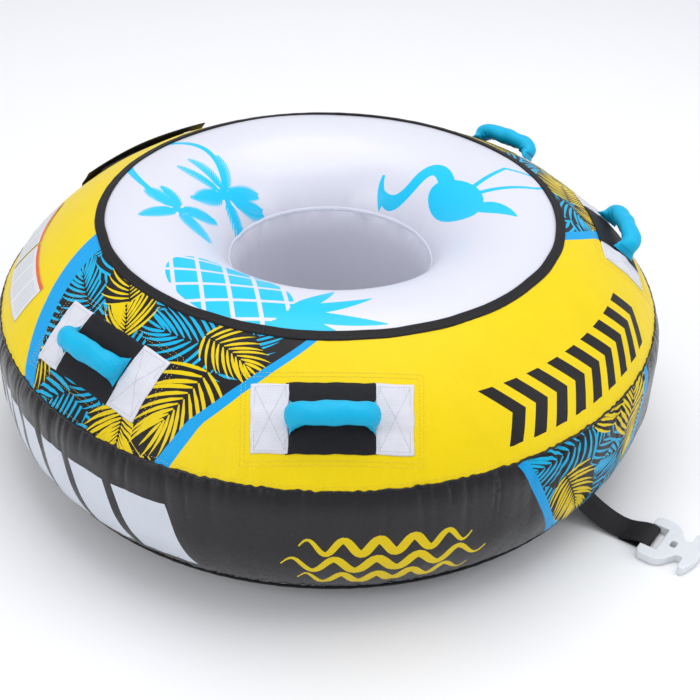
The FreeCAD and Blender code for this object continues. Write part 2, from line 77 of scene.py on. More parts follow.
sin_b, cos_b = sin_cos(BINDING_PHI)
sin_s, cos_s = sin_cos(SEAM_PHI)
TOP_C = (CREST_R + CROWN_BEND * sin_b - TOP_BEND * sin_b,
         CREST_Z - CROWN_BEND + CROWN_BEND * cos_b - TOP_BEND * cos_b)
SEAM = (TOP_C[0] + TOP_BEND * sin_s, TOP_C[1] + TOP_BEND * cos_s)
SHOULDER = (OUTER - SEAM[0]) / (1 - sin_s)
SHOULDER_C = (SEAM[0] - SHOULDER * sin_s, SEAM[1] - SHOULDER * cos_s)
HEEL_R, FOOT_R = OUTER - HEEL_BEND, HOLE + FOOT_BEND
PIECES = [arc(CREST_R, CREST_Z - HOLE_BEND, HOLE_BEND, -90, -70.7),
          arc(CREST_R, CREST_Z - HOLE_BEND, HOLE_BEND, -70.7, 0),
          arc(CREST_R, CREST_Z - CROWN_BEND, CROWN_BEND, 0, BINDING_PHI),
          arc(*TOP_C, TOP_BEND, BINDING_PHI, SEAM_PHI), arc(*SHOULDER_C, SHOULDER, SEAM_PHI, 90),
          line((OUTER, SHOULDER_C[1]), (OUTER, HEEL_BEND), 90),
          arc(HEEL_R, HEEL_BEND, HEEL_BEND, 90, LOWER_SEAM_PHI),
          arc(HEEL_R, HEEL_BEND, HEEL_BEND, LOWER_SEAM_PHI, 180), line((HEEL_R, 0), (FOOT_R, 0), 180),
          *[arc(FOOT_R, FOOT_BEND, FOOT_BEND, *span) for span in ((180, 210), (210, 250), (250, 270))],
          line((HOLE, FOOT_BEND), (HOLE, CREST_Z - HOLE_BEND), 270)]
MARKS = ["hole", "weld", "crest", "binding", "seam", "side", "low", "lowseam", "floor", "inner",
         "opening", "lowweld", "wall", "end"]
rows, S_AT, TOTAL = [], {"hole": 0.0}, 0.0
for mark, piece in zip(MARKS[1:], PIECES):
    step = np.hypot(*np.diff(piece[:, :2], axis=0).T)
    rows.append(np.column_stack([TOTAL + np.concatenate([[0], np.cumsum(step)]), piece]))
    TOTAL += step.sum()
    S_AT[mark] = TOTAL
PATH = np.vstack(rows)
SB, SS, SL = S_AT["binding"], S_AT["seam"], S_AT["lowseam"]


def section(s):
    """Radius, height and the normal's two parts at a distance along the section."""
    s = np.mod(s, TOTAL)
    return [np.interp(s, PATH[:, 0], PATH[:, k]) for k in (1, 2, 3, 4)]


def surf(az, s, off=0.0):
    """Points in metres on the tube's surface, at azimuths in degrees, lifted by off mm."""
    r, z, nx, nz = section(s)
    a = np.radians(az)
    r, z = r + off * nx, z + off * nz
    return np.column_stack([r * np.sin(a), -r * np.cos(a), z + 0 * a]) * MM


def s_of_r(r):
    """Distance along the section at a radius, on the top side."""
    keep = PATH[:, 0] <= S_AT["side"]
    return np.interp(r, PATH[keep, 1], PATH[keep, 0])


# ---------------------------------------------------------------- wrinkles
def waves(az, s, seed, ks, amp, s_scale=0.0):
    """A smooth periodic ripple round the tube."""
    g = np.random.default_rng(seed)
    out = 0.0
    for k in ks:
        start = g.uniform(0, 2 * math.pi, 2)[0]
        out = out + np.sin(np.radians(az) * k + start + s * s_scale * g.uniform(-1, 1))
    return out * amp / math.sqrt(len(ks))


def crease_table(seed, count, depth, width, length, lean):
    """Folds spread round the tube, as rows of (azimuth, depth, width, length, lean)."""
    g = np.random.default_rng(seed)
    az = (np.arange(count) + g.uniform(-0.42, 0.42, count)) * 360 / count - 180
    return np.column_stack([az, g.uniform(*depth, count) * g.choice([1, 1, .55, -.3], count),
                            g.uniform(*width, count), g.uniform(*length, count),
                            g.uniform(-lean, lean, count)])


def creases(az, s, table, anchor, way):
    """Folds that start at a seam and run away from it. Depth is inward, in mm."""
    r = section(s)[0]
    turn = np.mod(az, 360)
    order = np.argsort(turn, kind="stable")
    ordered = turn[order]
    out = np.zeros(len(az))
    t_all = (s - anchor) * way
    for a0, depth, width, length, lean in table:
        for centre in (a0 - 360, a0, a0 + 360):
            lo, hi = np.searchsorted(ordered, (centre - 5, centre + 5))
            if lo == hi:
                continue
            near = order[lo:hi]
            t = np.clip(t_all[near] / length, 0, 1)
            x = np.radians(turn[near] - centre) * r[near] - lean * t_all[near]
            shape = np.exp(-(x / (width * (1 + 0.7 * t))) ** 2)
            out[near] -= depth * shape * (1 - t) ** 1.6 * (1 + 0.6 * t)
    return out


SIDE_TOP = crease_table(11, 190, (0.9, 3.6), (2.4, 5.5), (40, 190), 0.10)
SIDE_FINE = crease_table(12, 430, (0.3, 1.3), (1.3, 2.6), (14, 60), 0.12)
SIDE_LOW = crease_table(13, 200, (0.8, 3.2), (2.5, 5.5), (40, 150), 0.12)
TOP_LOW = crease_table(14, 260, (0.25, 1.2), (1.6, 4.0), (15, 95), 0.25)
TOP_HIGH = crease_table(15, 170, (0.1, 0.5), (2.0, 4.0), (10, 45), 0.2)
BOTTOM_OUT = crease_table(16, 170, (0.8, 2.8), (2.5, 6.0), (30, 110), 0.2)
WALL_UP = crease_table(17, 46, (0.8, 3.0), (3.5, 9.0), (60, 200), 0.2)
WALL_DOWN = crease_table(18, 42, (0.8, 2.6), (3.5, 9.0), (50, 150), 0.2)
GRIPS = {"left": -43.8, "front": 0.8, "right": 94.0, "rear": 138.0}
GRIP_R = 483.1


def seam_line(az):
    """How far the upper seam wanders along the section, in mm."""
    return waves(az, 0 * az, 21, (163, 211, 257), 0.75) + waves(az, 0 * az, 22, (61, 83), 0.7)


def seam_drop(az, s):
    """The seam's wander, fading out on either side of it."""
    return seam_line(az) * np.exp(-((s - SS) / 30) ** 2)


def calm_by_grips(az, s):
    """0 under a grip's pad and patches, 1 away from them."""
    r = section(s)[0]
    s0 = s_of_r(GRIP_R)
    out = np.ones(len(az))
    for a0 in GRIPS.values():
        x = np.radians(np.mod(az - a0 + 180, 360) - 180) * r
        d = np.maximum(np.abs(x) - 112, np.abs(s - s0) - 54)
        out = np.minimum(out, np.clip(d / 22, 0, 1))
    return out


def top_shape(az, s):
    off = creases(az, s, TOP_LOW, SS, -1) + creases(az, s, TOP_HIGH, SB, 1)
    off += waves(az, s, 23, (7, 12, 19, 23), 0.35, 0.02) - 0.3
    off = np.minimum(off, 0.35) * (0.12 + 0.88 * calm_by_grips(az, s))
    return off - 0.15, seam_drop(az, s)


def side_shape(az, s):
    off = creases(az, s, SIDE_TOP, SS, 1) + creases(az, s, SIDE_FINE, SS, 1)
    off += creases(az, s, SIDE_LOW, SL, -1)
    mid = np.sin(np.clip((s - SS) / (SL - SS), 0, 1) * math.pi)
    off += mid * (1.2 + waves(az, s, 24, (17, 29, 41, 53), 0.8, 0.03))
    return np.minimum(off, 2.5), seam_drop(az, s)


def bottom_shape(az, s):
    off = creases(az, s, BOTTOM_OUT, SL, 1)
    off += creases(az, s, SIDE_LOW, SL, 1) * 0.6
    off += waves(az, s, 25, (9, 14, 22), 0.4, 0.03) - 0.5
    return np.minimum(off, 0.0), 0 * s


def bladder_shape(az, s):
    t = np.exp(-((s - S_AT["weld"]) / 22) ** 2)
    off = waves(az, s, 26, (13, 21, 34), 0.55, 0.02) * t
    off += waves(az, s, 27, (3, 5, 8), 0.7, 0.01)
    return off - 2.0, 0 * s


def wall_shape(az, s):
    off = creases(az, s, WALL_UP, S_AT["end"] + S_AT["weld"], -1)
    off += creases(az, s, WALL_DOWN, S_AT["lowweld"], 1)
    off += waves(az, s, 28, (6, 9, 15), 1.0, 0.02)
    calm = np.clip((np.hypot(np.radians(np.mod(az + 180, 360) - 180) * HOLE,
                             section(s)[1] - VALVE_Z) - 28) / 25, 0, 1)
    out = np.minimum(off, 1.2) * calm - 2.0
    join = np.exp(-((s - S_AT["end"] - S_AT["weld"]) / 12) ** 2)
    low = np.exp(-((s - S_AT["lowweld"]) / 12) ** 2)
    return out * (1 - join) * (1 - low) + join * bladder_shape(az, s - TOTAL)[0] - 2.6 * low, 0 * s


# ---------------------------------------------------------------- meshes
def shaped(shape, az, s):
    """Points on the tube's surface, moved by a shape's lift and slip."""
    off, slip = shape(az, s)
    return surf(az, s + slip, off)


def shape_normals(shape, az, s):
    du = shaped(shape, az + 0.05, s) - shaped(shape, az - 0.05, s)
    dv = shaped(shape, az, s + 0.5) - shaped(shape, az, s - 0.5)
    n = np.cross(dv, du)
    n *= np.sign((n * outward(az, s)).sum(1))[:, None]
    return n / np.maximum(np.linalg.norm(n, axis=1), 1e-12)[:, None]


def outward(az, s):
    """The section's own normals."""
    _, _, nx, nz = section(s)
    a = np.radians(az)
    return np.column_stack([nx * np.sin(a), -nx * np.cos(a), nz + 0 * a])


def make(name, verts, faces, mats, body, slot, replaces=(), index=None, uv=None, normals=None):
    """A mesh piece that rides on a body, stands for CAD nodes and carries a weave map."""
    mesh = bpy.data.meshes.new(name)
    mesh.from_pydata([tuple(map(float, v)) for v in verts], [], [tuple(map(int, f)) for f in faces])
    for m in (mats if isinstance(mats, (list, tuple)) else [mats]):
        mesh.materials.append(m)
    if index is not None:
        mesh.polygons.foreach_set("material_index", np.asarray(index, dtype=np.int32))
    mesh.polygons.foreach_set("use_smooth", np.ones(len(mesh.polygons), dtype=bool))
    if uv is not None:
        layer = mesh.uv_layers.new(name="weave")
        loops = np.empty(len(mesh.loops), dtype=np.int32)
        mesh.loops.foreach_get("vertex_index", loops)
        layer.data.foreach_set("uv", np.asarray(uv, dtype=np.float32)[loops].ravel())
    mesh.update()
    if normals is not None:
        mesh.normals_split_custom_set_from_vertices([tuple(map(float, n)) for n in normals])
    obj = bpy.data.objects.new(name, mesh)
    bpy.context.scene.collection.objects.link(obj)
    if body:
        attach(obj, body)
    if replaces:
        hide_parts(*replaces)
    return obj


def inside(poly, x, y):
    """Whether points lie within an outline, by winding."""
    turns = np.zeros(len(x), int)
    for (x0, y0), (x1, y1) in zip(poly, np.roll(poly, -1, axis=0)):
        left = (x1 - x0) * (y - y0) - (x - x0) * (y1 - y0)
        turns += (y0 <= y) & (y1 > y) & (left > 0)
        turns -= ((y0 > y) & (y1 <= y) & (left < 0)).astype(int)
    return turns != 0


def printed_ring(name, s0, s1, wrap, du, dv, shape, prints, base, mats, replaces, slot, ground=None):
    """A ring of the tube's surface whose printed shapes are faces of their own material.

    prints is a list of (polygon of (azimuth, s), material index); later ones lie on top, and leaves
    show only where the patch's ground lies under them. A material index under 0 leaves a hole."""
    rn = float(section(np.array([(s0 + s1) / 2]))[0][0])
    wide, high = 2 * math.pi * rn, s1 - s0
    cols, rows = int(round(wide / du)), int(round(high / dv))
    pts = [(u, v) for v in np.linspace(0, high, rows + 1) for u in np.linspace(0, wide, cols + 1)]
    at = lambda i, j: j * (cols + 1) + i
    rim = [at(i, 0) for i in range(cols)] + [at(cols, j) for j in range(rows)]
    rim += [at(i, rows) for i in range(cols, 0, -1)] + [at(0, j) for j in range(rows, 0, -1)]
    edges = list(zip(rim, rim[1:] + rim[:1]))
    shapes = []
    for poly, tag in prints:
        u = np.radians(np.mod(poly[:, 0] - wrap, 360)) * rn
        v = poly[:, 1] - s0
        if np.ptp(u) > wide / 2 or np.ptp(u) < 0.4 or np.ptp(v) < 0.4:
            continue
        start, n = len(pts), len(u)
        pts += list(zip(u, v))
        edges += [(start + i, start + (i + 1) % n) for i in range(n)]
        shapes.append((np.column_stack([u, v]), tag))
    out = delaunay_2d_cdt([Vector(p) for p in pts], edges, [], 0, 1e-3)
    flat = np.array([tuple(v) for v in out[0]])
    tris = np.array([t for t in out[2] if len(t) == 3])
    mid = flat[tris].mean(axis=1)
    keep = (mid[:, 0] > 0) & (mid[:, 0] < wide) & (mid[:, 1] > 0) & (mid[:, 1] < high)
    tris, mid = tris[keep], mid[keep]
    order = np.argsort(mid[:, 0])
    tris, mid = tris[order], mid[order]
    index, grounded = np.full(len(tris), base), np.zeros(len(tris), bool)
    for poly, tag in shapes:
        a, b = np.searchsorted(mid[:, 0], (poly[:, 0].min(), poly[:, 0].max()))
        near = a + np.flatnonzero((mid[a:b, 1] > poly[:, 1].min()) & (mid[a:b, 1] < poly[:, 1].max()))
        near = near[inside(poly, mid[near, 0], mid[near, 1])]
        if tag == ground:
            grounded[near] = True
        elif ground is not None and tag in LEAFY:
            near = near[grounded[near]]
        index[near] = tag
    tris, index = tris[index >= 0][:, ::-1], index[index >= 0]
    used, tris = np.unique(tris, return_inverse=True)
    az, s = np.degrees(flat[used, 0] / rn) + wrap, flat[used, 1] + s0
    uv = np.column_stack([np.radians(az) * rn, s]) * MM
    return make(name, shaped(shape, az, s), tris.reshape(-1, 3), mats, "tube", slot, replaces, index, uv,
                shape_normals(shape, az, s))


def grid_faces(n, m, close_u=False, close_v=False):
    """Faces of an n by m grid of points, closed round either way."""
    faces = []
    for i in range(n if close_u else n - 1):
        for j in range(m if close_v else m - 1):
            a, b = i * m + j, ((i + 1) % n) * m + j
            c, d = ((i + 1) % n) * m + (j + 1) % m, i * m + (j + 1) % m
            faces.append((a, d, c, b))
    return faces


def flipped(faces):
    """The same faces, seen from their other side."""
    return [(f[0],) + f[:0:-1] for f in faces]


def slab_faces(n, m, flip=False):
    """Faces of a closed slab: its top grid's points come first, then its underside's."""
    k = n * m
    top = grid_faces(n, m)
    rim = [i * m for i in range(n)] + [(n - 1) * m + j for j in range(1, m)]
    rim += [i * m + m - 1 for i in range(n - 2, -1, -1)] + [j for j in range(m - 2, 0, -1)]
    faces = top + [(a + k, d + k, c + k, b + k) for a, b, c, d in top]
    faces += [(a, b, b + k, a + k) for a, b in zip(rim, rim[1:] + rim[:1])]
    return flipped(faces) if flip else faces


def plain_ring(name, s0, s1, du, dv, shape, mat, replaces, slot):
    """A ring of the tube's surface in one material, as a grid of cells du by dv mm."""
    rn = float(section(np.array([(s0 + s1) / 2]))[0][0])
    cols = int(round(2 * math.pi * rn / du))
    rows = int(round((s1 - s0) / dv)) + 1
    az, s = np.meshgrid(np.linspace(-180, 180, cols + 1), np.linspace(s0, s1, rows), indexing="ij")
    az, s = az.ravel(), s.ravel()
    uv = np.column_stack([np.radians(az) * rn, s]) * MM
    return make(name, shaped(shape, az, s), grid_faces(cols + 1, rows), mat, "tube", slot, replaces,
                None, uv, shape_normals(shape, az, s))


def panel_sheet(s0, s1):
    """The mean radius of a ring panel of the cover, left unused."""
    r = float(section(np.linspace(s0, s1, 80))[0].mean())


def strip_ring(name, profile, centre_s, mat, replaces, slot, wobble, step=5.0):
    """A closed band round the tube. profile is a loop of (along the section, lift) in mm."""
    rn = float(section(np.array([centre_s]))[0][0])
    cols = int(round(2 * math.pi * rn / step))
    az = np.linspace(-180, 180, cols, endpoint=False)
    prof = np.array(profile)
    az, s, lift = np.repeat(az, len(prof)), np.tile(prof[:, 0], cols) + centre_s, np.tile(prof[:, 1], cols)
    slip, puff = wobble(az, s, lift)
    s, lift = s + slip, lift + puff
    uv = np.column_stack([np.radians(az) * rn, s]) * MM
    return make(name, surf(az, s, lift), grid_faces(cols, len(prof), True, True), mat, "tube", slot,
                replaces, None, uv)


# ---------------------------------------------------------------- materials
def material(name, color, rough=0.5, weave=0.0, weave_depth=0.0002, crinkle=0.0, crinkle_scale=60.0,
             mottle=0.08, mottle_scale=18.0, sheen=0.0, coat=0.0, spec=0.5, subsurface=0.0, metal=0.0,
             rough_var=0.08):
    """A fabric or plastic: woven bump from the piece's own weave map, with painted shade in the weave's
    grooves, crinkle and mottling.
    """
    m = bpy.data.materials.new(name)
    m.use_nodes = True
    tree = m.node_tree
    tree.nodes.clear()
    link = tree.links.new

    def node(kind, **inputs):
        made = tree.nodes.new("ShaderNode" + kind)
        for key, value in inputs.items():
            made.inputs[key.replace("_", " ")].default_value = value
        return made

    def noise(scale, detail=2.0):
        made = node("TexNoise", Scale=scale, Detail=detail)
        link(coords.outputs["Object"], made.inputs["Vector"])
        return made.outputs["Fac"]

    def spread(value, low, high):
        made = node("MapRange", To_Min=low, To_Max=high)
        link(value, made.inputs["Value"])
        return made.outputs[0]

    def bump(height, strength, distance):
        made = node("Bump", Strength=strength, Distance=distance)
        link(height, made.inputs["Height"])
        return made

    coords, ramp = node("TexCoord"), node("ValToRGB")
    shader = node("BsdfPrincipled", Specular_IOR_Level=spec, Metallic=metal, Sheen_Weight=sheen,
                  Sheen_Roughness=0.4, Coat_Weight=coat, Coat_Roughness=0.25, Subsurface_Weight=subsurface,
                  Subsurface_Radius=(0.01, 0.01, 0.012), Subsurface_Scale=1.0)
    link(shader.outputs[0], node("OutputMaterial").inputs[0])
    low, high = ramp.color_ramp.elements
    low.position, high.position = 0.3, 0.7
    low.color, high.color = (*[c * (1 - mottle) for c in color], 1), (*color, 1)
    link(noise(mottle_scale, 5), ramp.inputs["Fac"])
    shine = spread(noise(mottle_scale * 2.3), max(0.03, rough - rough_var), min(1.0, rough + rough_var))
    link(shine, shader.inputs["Roughness"])
    colour, relief = ramp.outputs["Color"], None
    if crinkle:
        relief = bump(noise(crinkle_scale, 3), 1.0, crinkle)
    if weave:
        cloth = node("Math")
        cloth.operation = "MULTIPLY"
        for k, axis in enumerate("XY"):
            threads = node("TexWave", Scale=0.5 / math.pi / weave, Distortion=0.6, Detail_Scale=2.0)
            threads.bands_direction = axis
            link(coords.outputs["UV"], threads.inputs["Vector"])
            link(threads.outputs["Fac"], cloth.inputs[k])
        woven = bump(cloth.outputs[0], 0.5, weave_depth)
        if relief:
            link(relief.outputs[0], woven.inputs["Normal"])
        relief = woven
        # painted shade: the colour is darkened where the weave's threads dip, following the weave bump
        weave_shade = node("Mix")
        weave_shade.data_type, weave_shade.blend_type = "RGBA", "MULTIPLY"
        weave_shade.inputs["Factor"].default_value = 1.0
        link(colour, weave_shade.inputs["A"])
        link(spread(cloth.outputs[0], 0.82, 1.0), weave_shade.inputs["B"])
        colour = weave_shade.outputs["Result"]
    link(colour, shader.inputs["Base Color"])
    if relief:
        link(relief.outputs[0], shader.inputs["Normal"])
    return m


def nylon(name, color, **more):
    """Coated nylon cloth, with any value changed."""
    opts = dict(rough=0.42, weave=0.0007, weave_depth=0.00012, crinkle=0.0007, crinkle_scale=55,
                sheen=0.02, mottle=0.05, spec=0.35)
    opts.update(more)
    return material(name, color, **opts)


def thread(colour_name, color, **more):
    opts = dict(rough=0.6, crinkle=0.0002, crinkle_scale=900, mottle=0.1, mottle_scale=300)
    opts.update(more)
    return material("thread_" + colour_name, color, **opts)


YELLOW = nylon("nylon_yellow", (0.90, 0.67, 0.0), mottle=0.04, spec=0.2)
BLACK = nylon("nylon_black", (0.006, 0.005, 0.007), rough=0.27, mottle=0.2, spec=0.38)
INK = nylon("print_black", (0.012, 0.010, 0.011), mottle=0.15, spec=0.2)
INK_SHADE = nylon("print_shade", (0.012, 0.010, 0.011), mottle=0.15, spec=0.2)
WAVE = nylon("print_wave", (0.84, 0.62, 0.0), mottle=0.05, spec=0.2)
CYAN = nylon("print_cyan", (0.0, 0.46, 0.78), mottle=0.05, spec=0.2)
BLUE = nylon("print_blue", (0.0, 0.37, 0.80), mottle=0.04, spec=0.2)
LEAF = nylon("print_yellow", (0.84, 0.62, 0.0), mottle=0.05, spec=0.2)
PALE = nylon("print_white", (0.68, 0.72, 0.79), mottle=0.05)
PVC = material("pvc_white", (0.64, 0.64, 0.72), rough=0.33, crinkle=0.0006, crinkle_scale=22,
               mottle=0.03, mottle_scale=6, spec=0.5, coat=0.15, subsurface=0.0, rough_var=0.05)
PVC_CYAN = material("pvc_cyan", (0.0, 0.50, 0.80), rough=0.36, spec=0.3, crinkle=0.0006, crinkle_scale=22,
                    mottle=0.04, mottle_scale=9, coat=0.1, rough_var=0.05)
WELD = material("pvc_weld", (0.66, 0.68, 0.77), rough=0.38, crinkle=0.0008, crinkle_scale=160,
                mottle=0.06, mottle_scale=40, coat=0.15)
TAPE = material("binding_tape", (0.010, 0.009, 0.010), rough=0.62, spec=0.25, weave=0.0011,
                weave_depth=0.0003, mottle=0.25, mottle_scale=90, sheen=0.02)
WEBBING = material("webbing_black", (0.010, 0.009, 0.011), rough=0.55, spec=0.3, weave=0.0016,
                   weave_depth=0.0006, mottle=0.3, mottle_scale=120, sheen=0.03)
PAD = material("pad_black", (0.008, 0.008, 0.011), rough=0.62, spec=0.25, weave=0.0012, weave_depth=0.0003,
               crinkle=0.0006, crinkle_scale=90, mottle=0.25, mottle_scale=70, sheen=0.03)
CANVAS = material("patch_canvas", (0.74, 0.74, 0.80), rough=0.7, weave=0.0012,
                  weave_depth=0.0004, crinkle=0.0008, crinkle_scale=70, mottle=0.06,
                  mottle_scale=50, sheen=0.1)
SLEEVE = nylon("sleeve_cyan", (0.0, 0.47, 0.78), rough=0.48, spec=0.25, weave=0.0008, crinkle=0.0010,
               crinkle_scale=80, mottle=0.06)
THREAD_GREY = thread("grey", (0.36, 0.37, 0.44), mottle=0.15)
THREAD_GOLD = thread("gold", (0.80, 0.60, 0.12))
THREAD_BLACK = thread("black", (0.03, 0.03, 0.035), rough=0.55)
LABEL = nylon("label_white", (0.76, 0.77, 0.80), rough=0.5, weave=0.0006, mottle=0.04)
LABEL_TINT = nylon("label_orange", (0.80, 0.13, 0.02), rough=0.5, weave=0.0006, mottle=0.04)
LABEL_GREY = nylon("label_grey", (0.50, 0.51, 0.55), rough=0.55, weave=0.0006, mottle=0.12)
FLAP_CLOTH = nylon("flap_cloth", (0.022, 0.020, 0.023), rough=0.5, mottle=0.2, weave=0.001)
NATURAL = material("nylon_natural", (0.70, 0.72, 0.75), rough=0.34, crinkle=0.0003,
                   crinkle_scale=120, mottle=0.05, mottle_scale=35, subsurface=0.35, coat=0.1)
ZINC = material("zinc", (0.42, 0.42, 0.43), rough=0.35, metal=1.0, crinkle=0.0001,
                crinkle_scale=500, mottle=0.15, mottle_scale=200)
COIL = material("coil_black", (0.02, 0.02, 0.02), rough=0.35, crinkle=0.0001, crinkle_scale=400,
                mottle=0.2, mottle_scale=200)
FOAM = material("foam_grey", (0.12, 0.12, 0.13), rough=0.9, crinkle=0.0008, crinkle_scale=500,
                mottle=0.2, mottle_scale=300)
VALVE = material("valve_white", (0.72, 0.73, 0.75), rough=0.4, crinkle=0.0002, crinkle_scale=250,
                 mottle=0.04, mottle_scale=60, subsurface=0.1)
RUBBER = material("valve_rubber", (0.10, 0.10, 0.11), rough=0.6, crinkle=0.0001,
                  crinkle_scale=400, mottle=0.15, mottle_scale=200)

# ---------------------------------------------------------------- print shapes, local (x, y) in mm
def bezier(p0, p1, p2, n):
    """n points on a bowed line from p0 to p2."""
    t = np.linspace(0, 1, n)[:, None]
    return (1 - t) ** 2 * np.array(p0) + 2 * t * (1 - t) * np.array(p1) + t ** 2 * np.array(p2)


def normals_along(path):
    """Unit normals of a line of points, to its left."""
    d = np.gradient(path, axis=0)
    return np.column_stack([-d[:, 1], d[:, 0]]) / np.maximum(np.hypot(d[:, 0], d[:, 1]), 1e-9)[:, None]


def ribbon2d(centre, width):
    """A closed outline round a centre line, with a half width at each point."""
    c = np.asarray(centre, float)
    side = normals_along(c) * np.asarray(width)[:, None]
    return np.vstack([c + side, (c - side)[::-1]])


def blade(start, angle, length, bow, width, n=6):
    """One leaf blade: angle in degrees from +y, clockwise; bow turns its tip."""
    mid = np.array(start) + 0.55 * length * np.array(sin_cos(angle))
    tip = mid + 0.5 * length * np.array(sin_cos(angle + bow))
    t = np.linspace(0.02, 0.995, n)
    half = width / 2 * np.clip(np.sin(math.pi * t ** 0.62), 0.03, 1) ** 0.75
    return ribbon2d(bezier(start, mid, tip, n), half)


def frond(length, reach, count, width, curve=0.0, open0=78, open1=22, bow=-28, seed=0, taper=0.55):
    """A palm frond from the origin along +y."""
    g = np.random.default_rng(seed)
    out = []
    for i in range(count):
        t = (i + 0.4) / count
        heading = math.degrees(math.atan(2 * curve * t))
        sin_h, cos_h = sin_cos(heading)
        p = np.array([curve * length * t * t, length * t])
        for side in (-1, 1):
            angle = heading + side * (open0 + (open1 - open0) * t ** 0.9 + g.uniform(-3, 3))
            size = reach * (taper + (1 - taper) * math.sin(math.pi * min(1, 0.18 + 0.72 * t)))
            size *= g.uniform(0.9, 1.08)
            root = p + 1.1 * np.array([cos_h, -sin_h]) * side
            out.append(blade(root, angle, size, side * bow, width * g.uniform(0.85, 1.1)))
    heading = math.degrees(math.atan(2 * curve))
    out.append(blade((curve * length, length), heading, reach * 0.55, 0, width * 0.8))
    return out


def place(polys, az0, s0, rot=0.0, scale=1.0):
    """Local (x, y) shapes put on the cover: x goes round, y up towards the crest."""
    k, c = sin_cos(rot)
    out = []
    for p in polys:
        p = np.asarray(p, float) * scale
        x, y = p[:, 0] * c + p[:, 1] * k, -p[:, 0] * k + p[:, 1] * c
        s = s0 - y
        out.append(np.column_stack([az0 + np.degrees(x / section(s)[0]), s]))
    return out


def dense(poly, step=5.0):
    """An outline with points no further apart than about a step."""
    poly = np.asarray(poly, float)
    out = []
    for p, q in zip(poly, np.roll(poly, -1, axis=0)):
        n = max(1, int(math.dist(p, q) / step))
        out += [p + (q - p) * i / n for i in range(n)]
    return np.array(out)


def plan(polys):
    """Shapes drawn in plan (x, y), in mm, put on the tube's top."""
    out = []
    for p in polys:
        p = dense(p)
        r = np.clip(np.hypot(p[:, 0], p[:, 1]), 161.5, 600)
        out.append(np.column_stack([np.degrees(np.arctan2(p[:, 0], -p[:, 1])), s_of_r(r)]))
    return out


def turned(polys, x, y, rot, scale=1.0):
    """Shapes turned clockwise by rot and moved, in plan."""
    k, c = sin_cos(rot)
    return [np.column_stack([x + scale * (p[:, 0] * c + p[:, 1] * k),
                             y + scale * (-p[:, 0] * k + p[:, 1] * c)]) for p in map(np.asarray, polys)]


def between(edge0, edge1, n=24):
    """The area between two edges, each a list of (azimuth, s)."""
    e0, e1 = np.array(edge0, float), np.array(edge1, float)
    s = np.linspace(e0[0, 1], e0[-1, 1], n)
    a0, a1 = np.interp(s, e0[:, 1], e0[:, 0]), np.interp(s, e1[:, 1], e1[:, 0])
    return np.vstack([np.column_stack([a0, s]), np.column_stack([a1, s])[::-1]])


SR = lambda f: float(s_of_r(np.array([f * OUTER]))[0])


def edge(*pairs):
    """An edge from (azimuth, radius fraction) pairs, run a little past both seams."""
    e = [(a, SR(f)) for a, f in pairs]
    e[0], e[-1] = (e[0][0], SB - 3), (e[-1][0], SS + 6)
    return e


LEFT_OUT = edge((-75.9, .686), (-70.6, .775), (-65.2, .86), (-56.4, .98))
LEFT_IN = edge((-68.7, .686), (-64.6, .775), (-60.4, .86), (-52.9, .98))
RIGHT_OUT = edge((-1.8, .686), (-9.9, .773), (-14.5, .829), (-20.1, .903), (-23.8, .98))
RIGHT_IN = edge((-4.0, .686), (-12.2, .773), (-16.8, .829), (-22.5, .903), (-26.3, .98))
BACK_OUT = edge((76.5, .686), (85.9, .782), (90.0, .87), (101.0, .98))
BACK_IN = edge((80.5, .686), (89.4, .782), (93.2, .87), (103.8, .98))
FAR_OUT = edge((155.0, .686), (147.0, .80), (135.0, .98))
FAR_IN = edge((151.0, .686), (143.6, .80), (132.2, .98))
SIDE_LEFT = [(28.8, SS - 5), (40.4, SL + 5)]
SIDE_LEFT_IN = [(30.6, SS - 5), (41.9, SL + 5)]
SIDE_RIGHT = [(65.6, SS - 5), (54.0, SL + 5)]
SIDE_RIGHT_IN = [(63.8, SS - 5), (52.5, SL + 5)]


def hull(pts):
    """The outline round a set of points."""
    pts = sorted(map(tuple, pts))
    out = []
    for row in (pts, pts[::-1]):
        half = []
        for p in row:
            while len(half) > 1 and ((half[-1][0] - half[-2][0]) * (p[1] - half[-2][1])
                                     - (half[-1][1] - half[-2][1]) * (p[0] - half[-2][0])) <= 0:
                half.pop()
            half.append(p)
        out += half[:-1]
    return np.array(out)


def leaves(items, in_it):
    """Fronds placed in a patch, each on its own dark ground; items are (tag, azimuth, s, turn, frond
    arguments)."""
    out = []
    for tag, az, s, rot, args in items:
        polys = frond(**dict(args, width=args["width"] * (0.66 if tag == T_LEAF else 0.92)))
        shade = hull(np.vstack(polys)) * (0.90, 0.97)
        polys = place([shade] + polys, az, s, rot)
        out += [(p, T_SHADE if k == 0 else tag) for k, p in enumerate(polys) if in_it(p)]
    return out


def in_patch(left, right):
    """A test for outlines that reach into the patch between two edges."""
    l, r = np.array(left), np.array(right)

    def test(p):
        a0, a1 = np.interp(p[:, 1], l[:, 1], l[:, 0]), np.interp(p[:, 1], r[:, 1], r[:, 0])
        ok = (p[:, 0] > a0) & (p[:, 0] < a1) & (p[:, 1] > SB - 4) & (p[:, 1] < SL + 4)
        return ok.any()
    return test


T_YELLOW, T_INK, T_CYAN, T_LEAF, T_BLUE, T_SHADE, T_PALE, T_WAVE = range(8)
LEAFY = (T_CYAN, T_LEAF, T_SHADE)


def fr(length, reach, count, width, curve=0.0, seed=0, **more):
    return dict(length=length, reach=reach, count=count, width=width, curve=curve, seed=seed, **more)


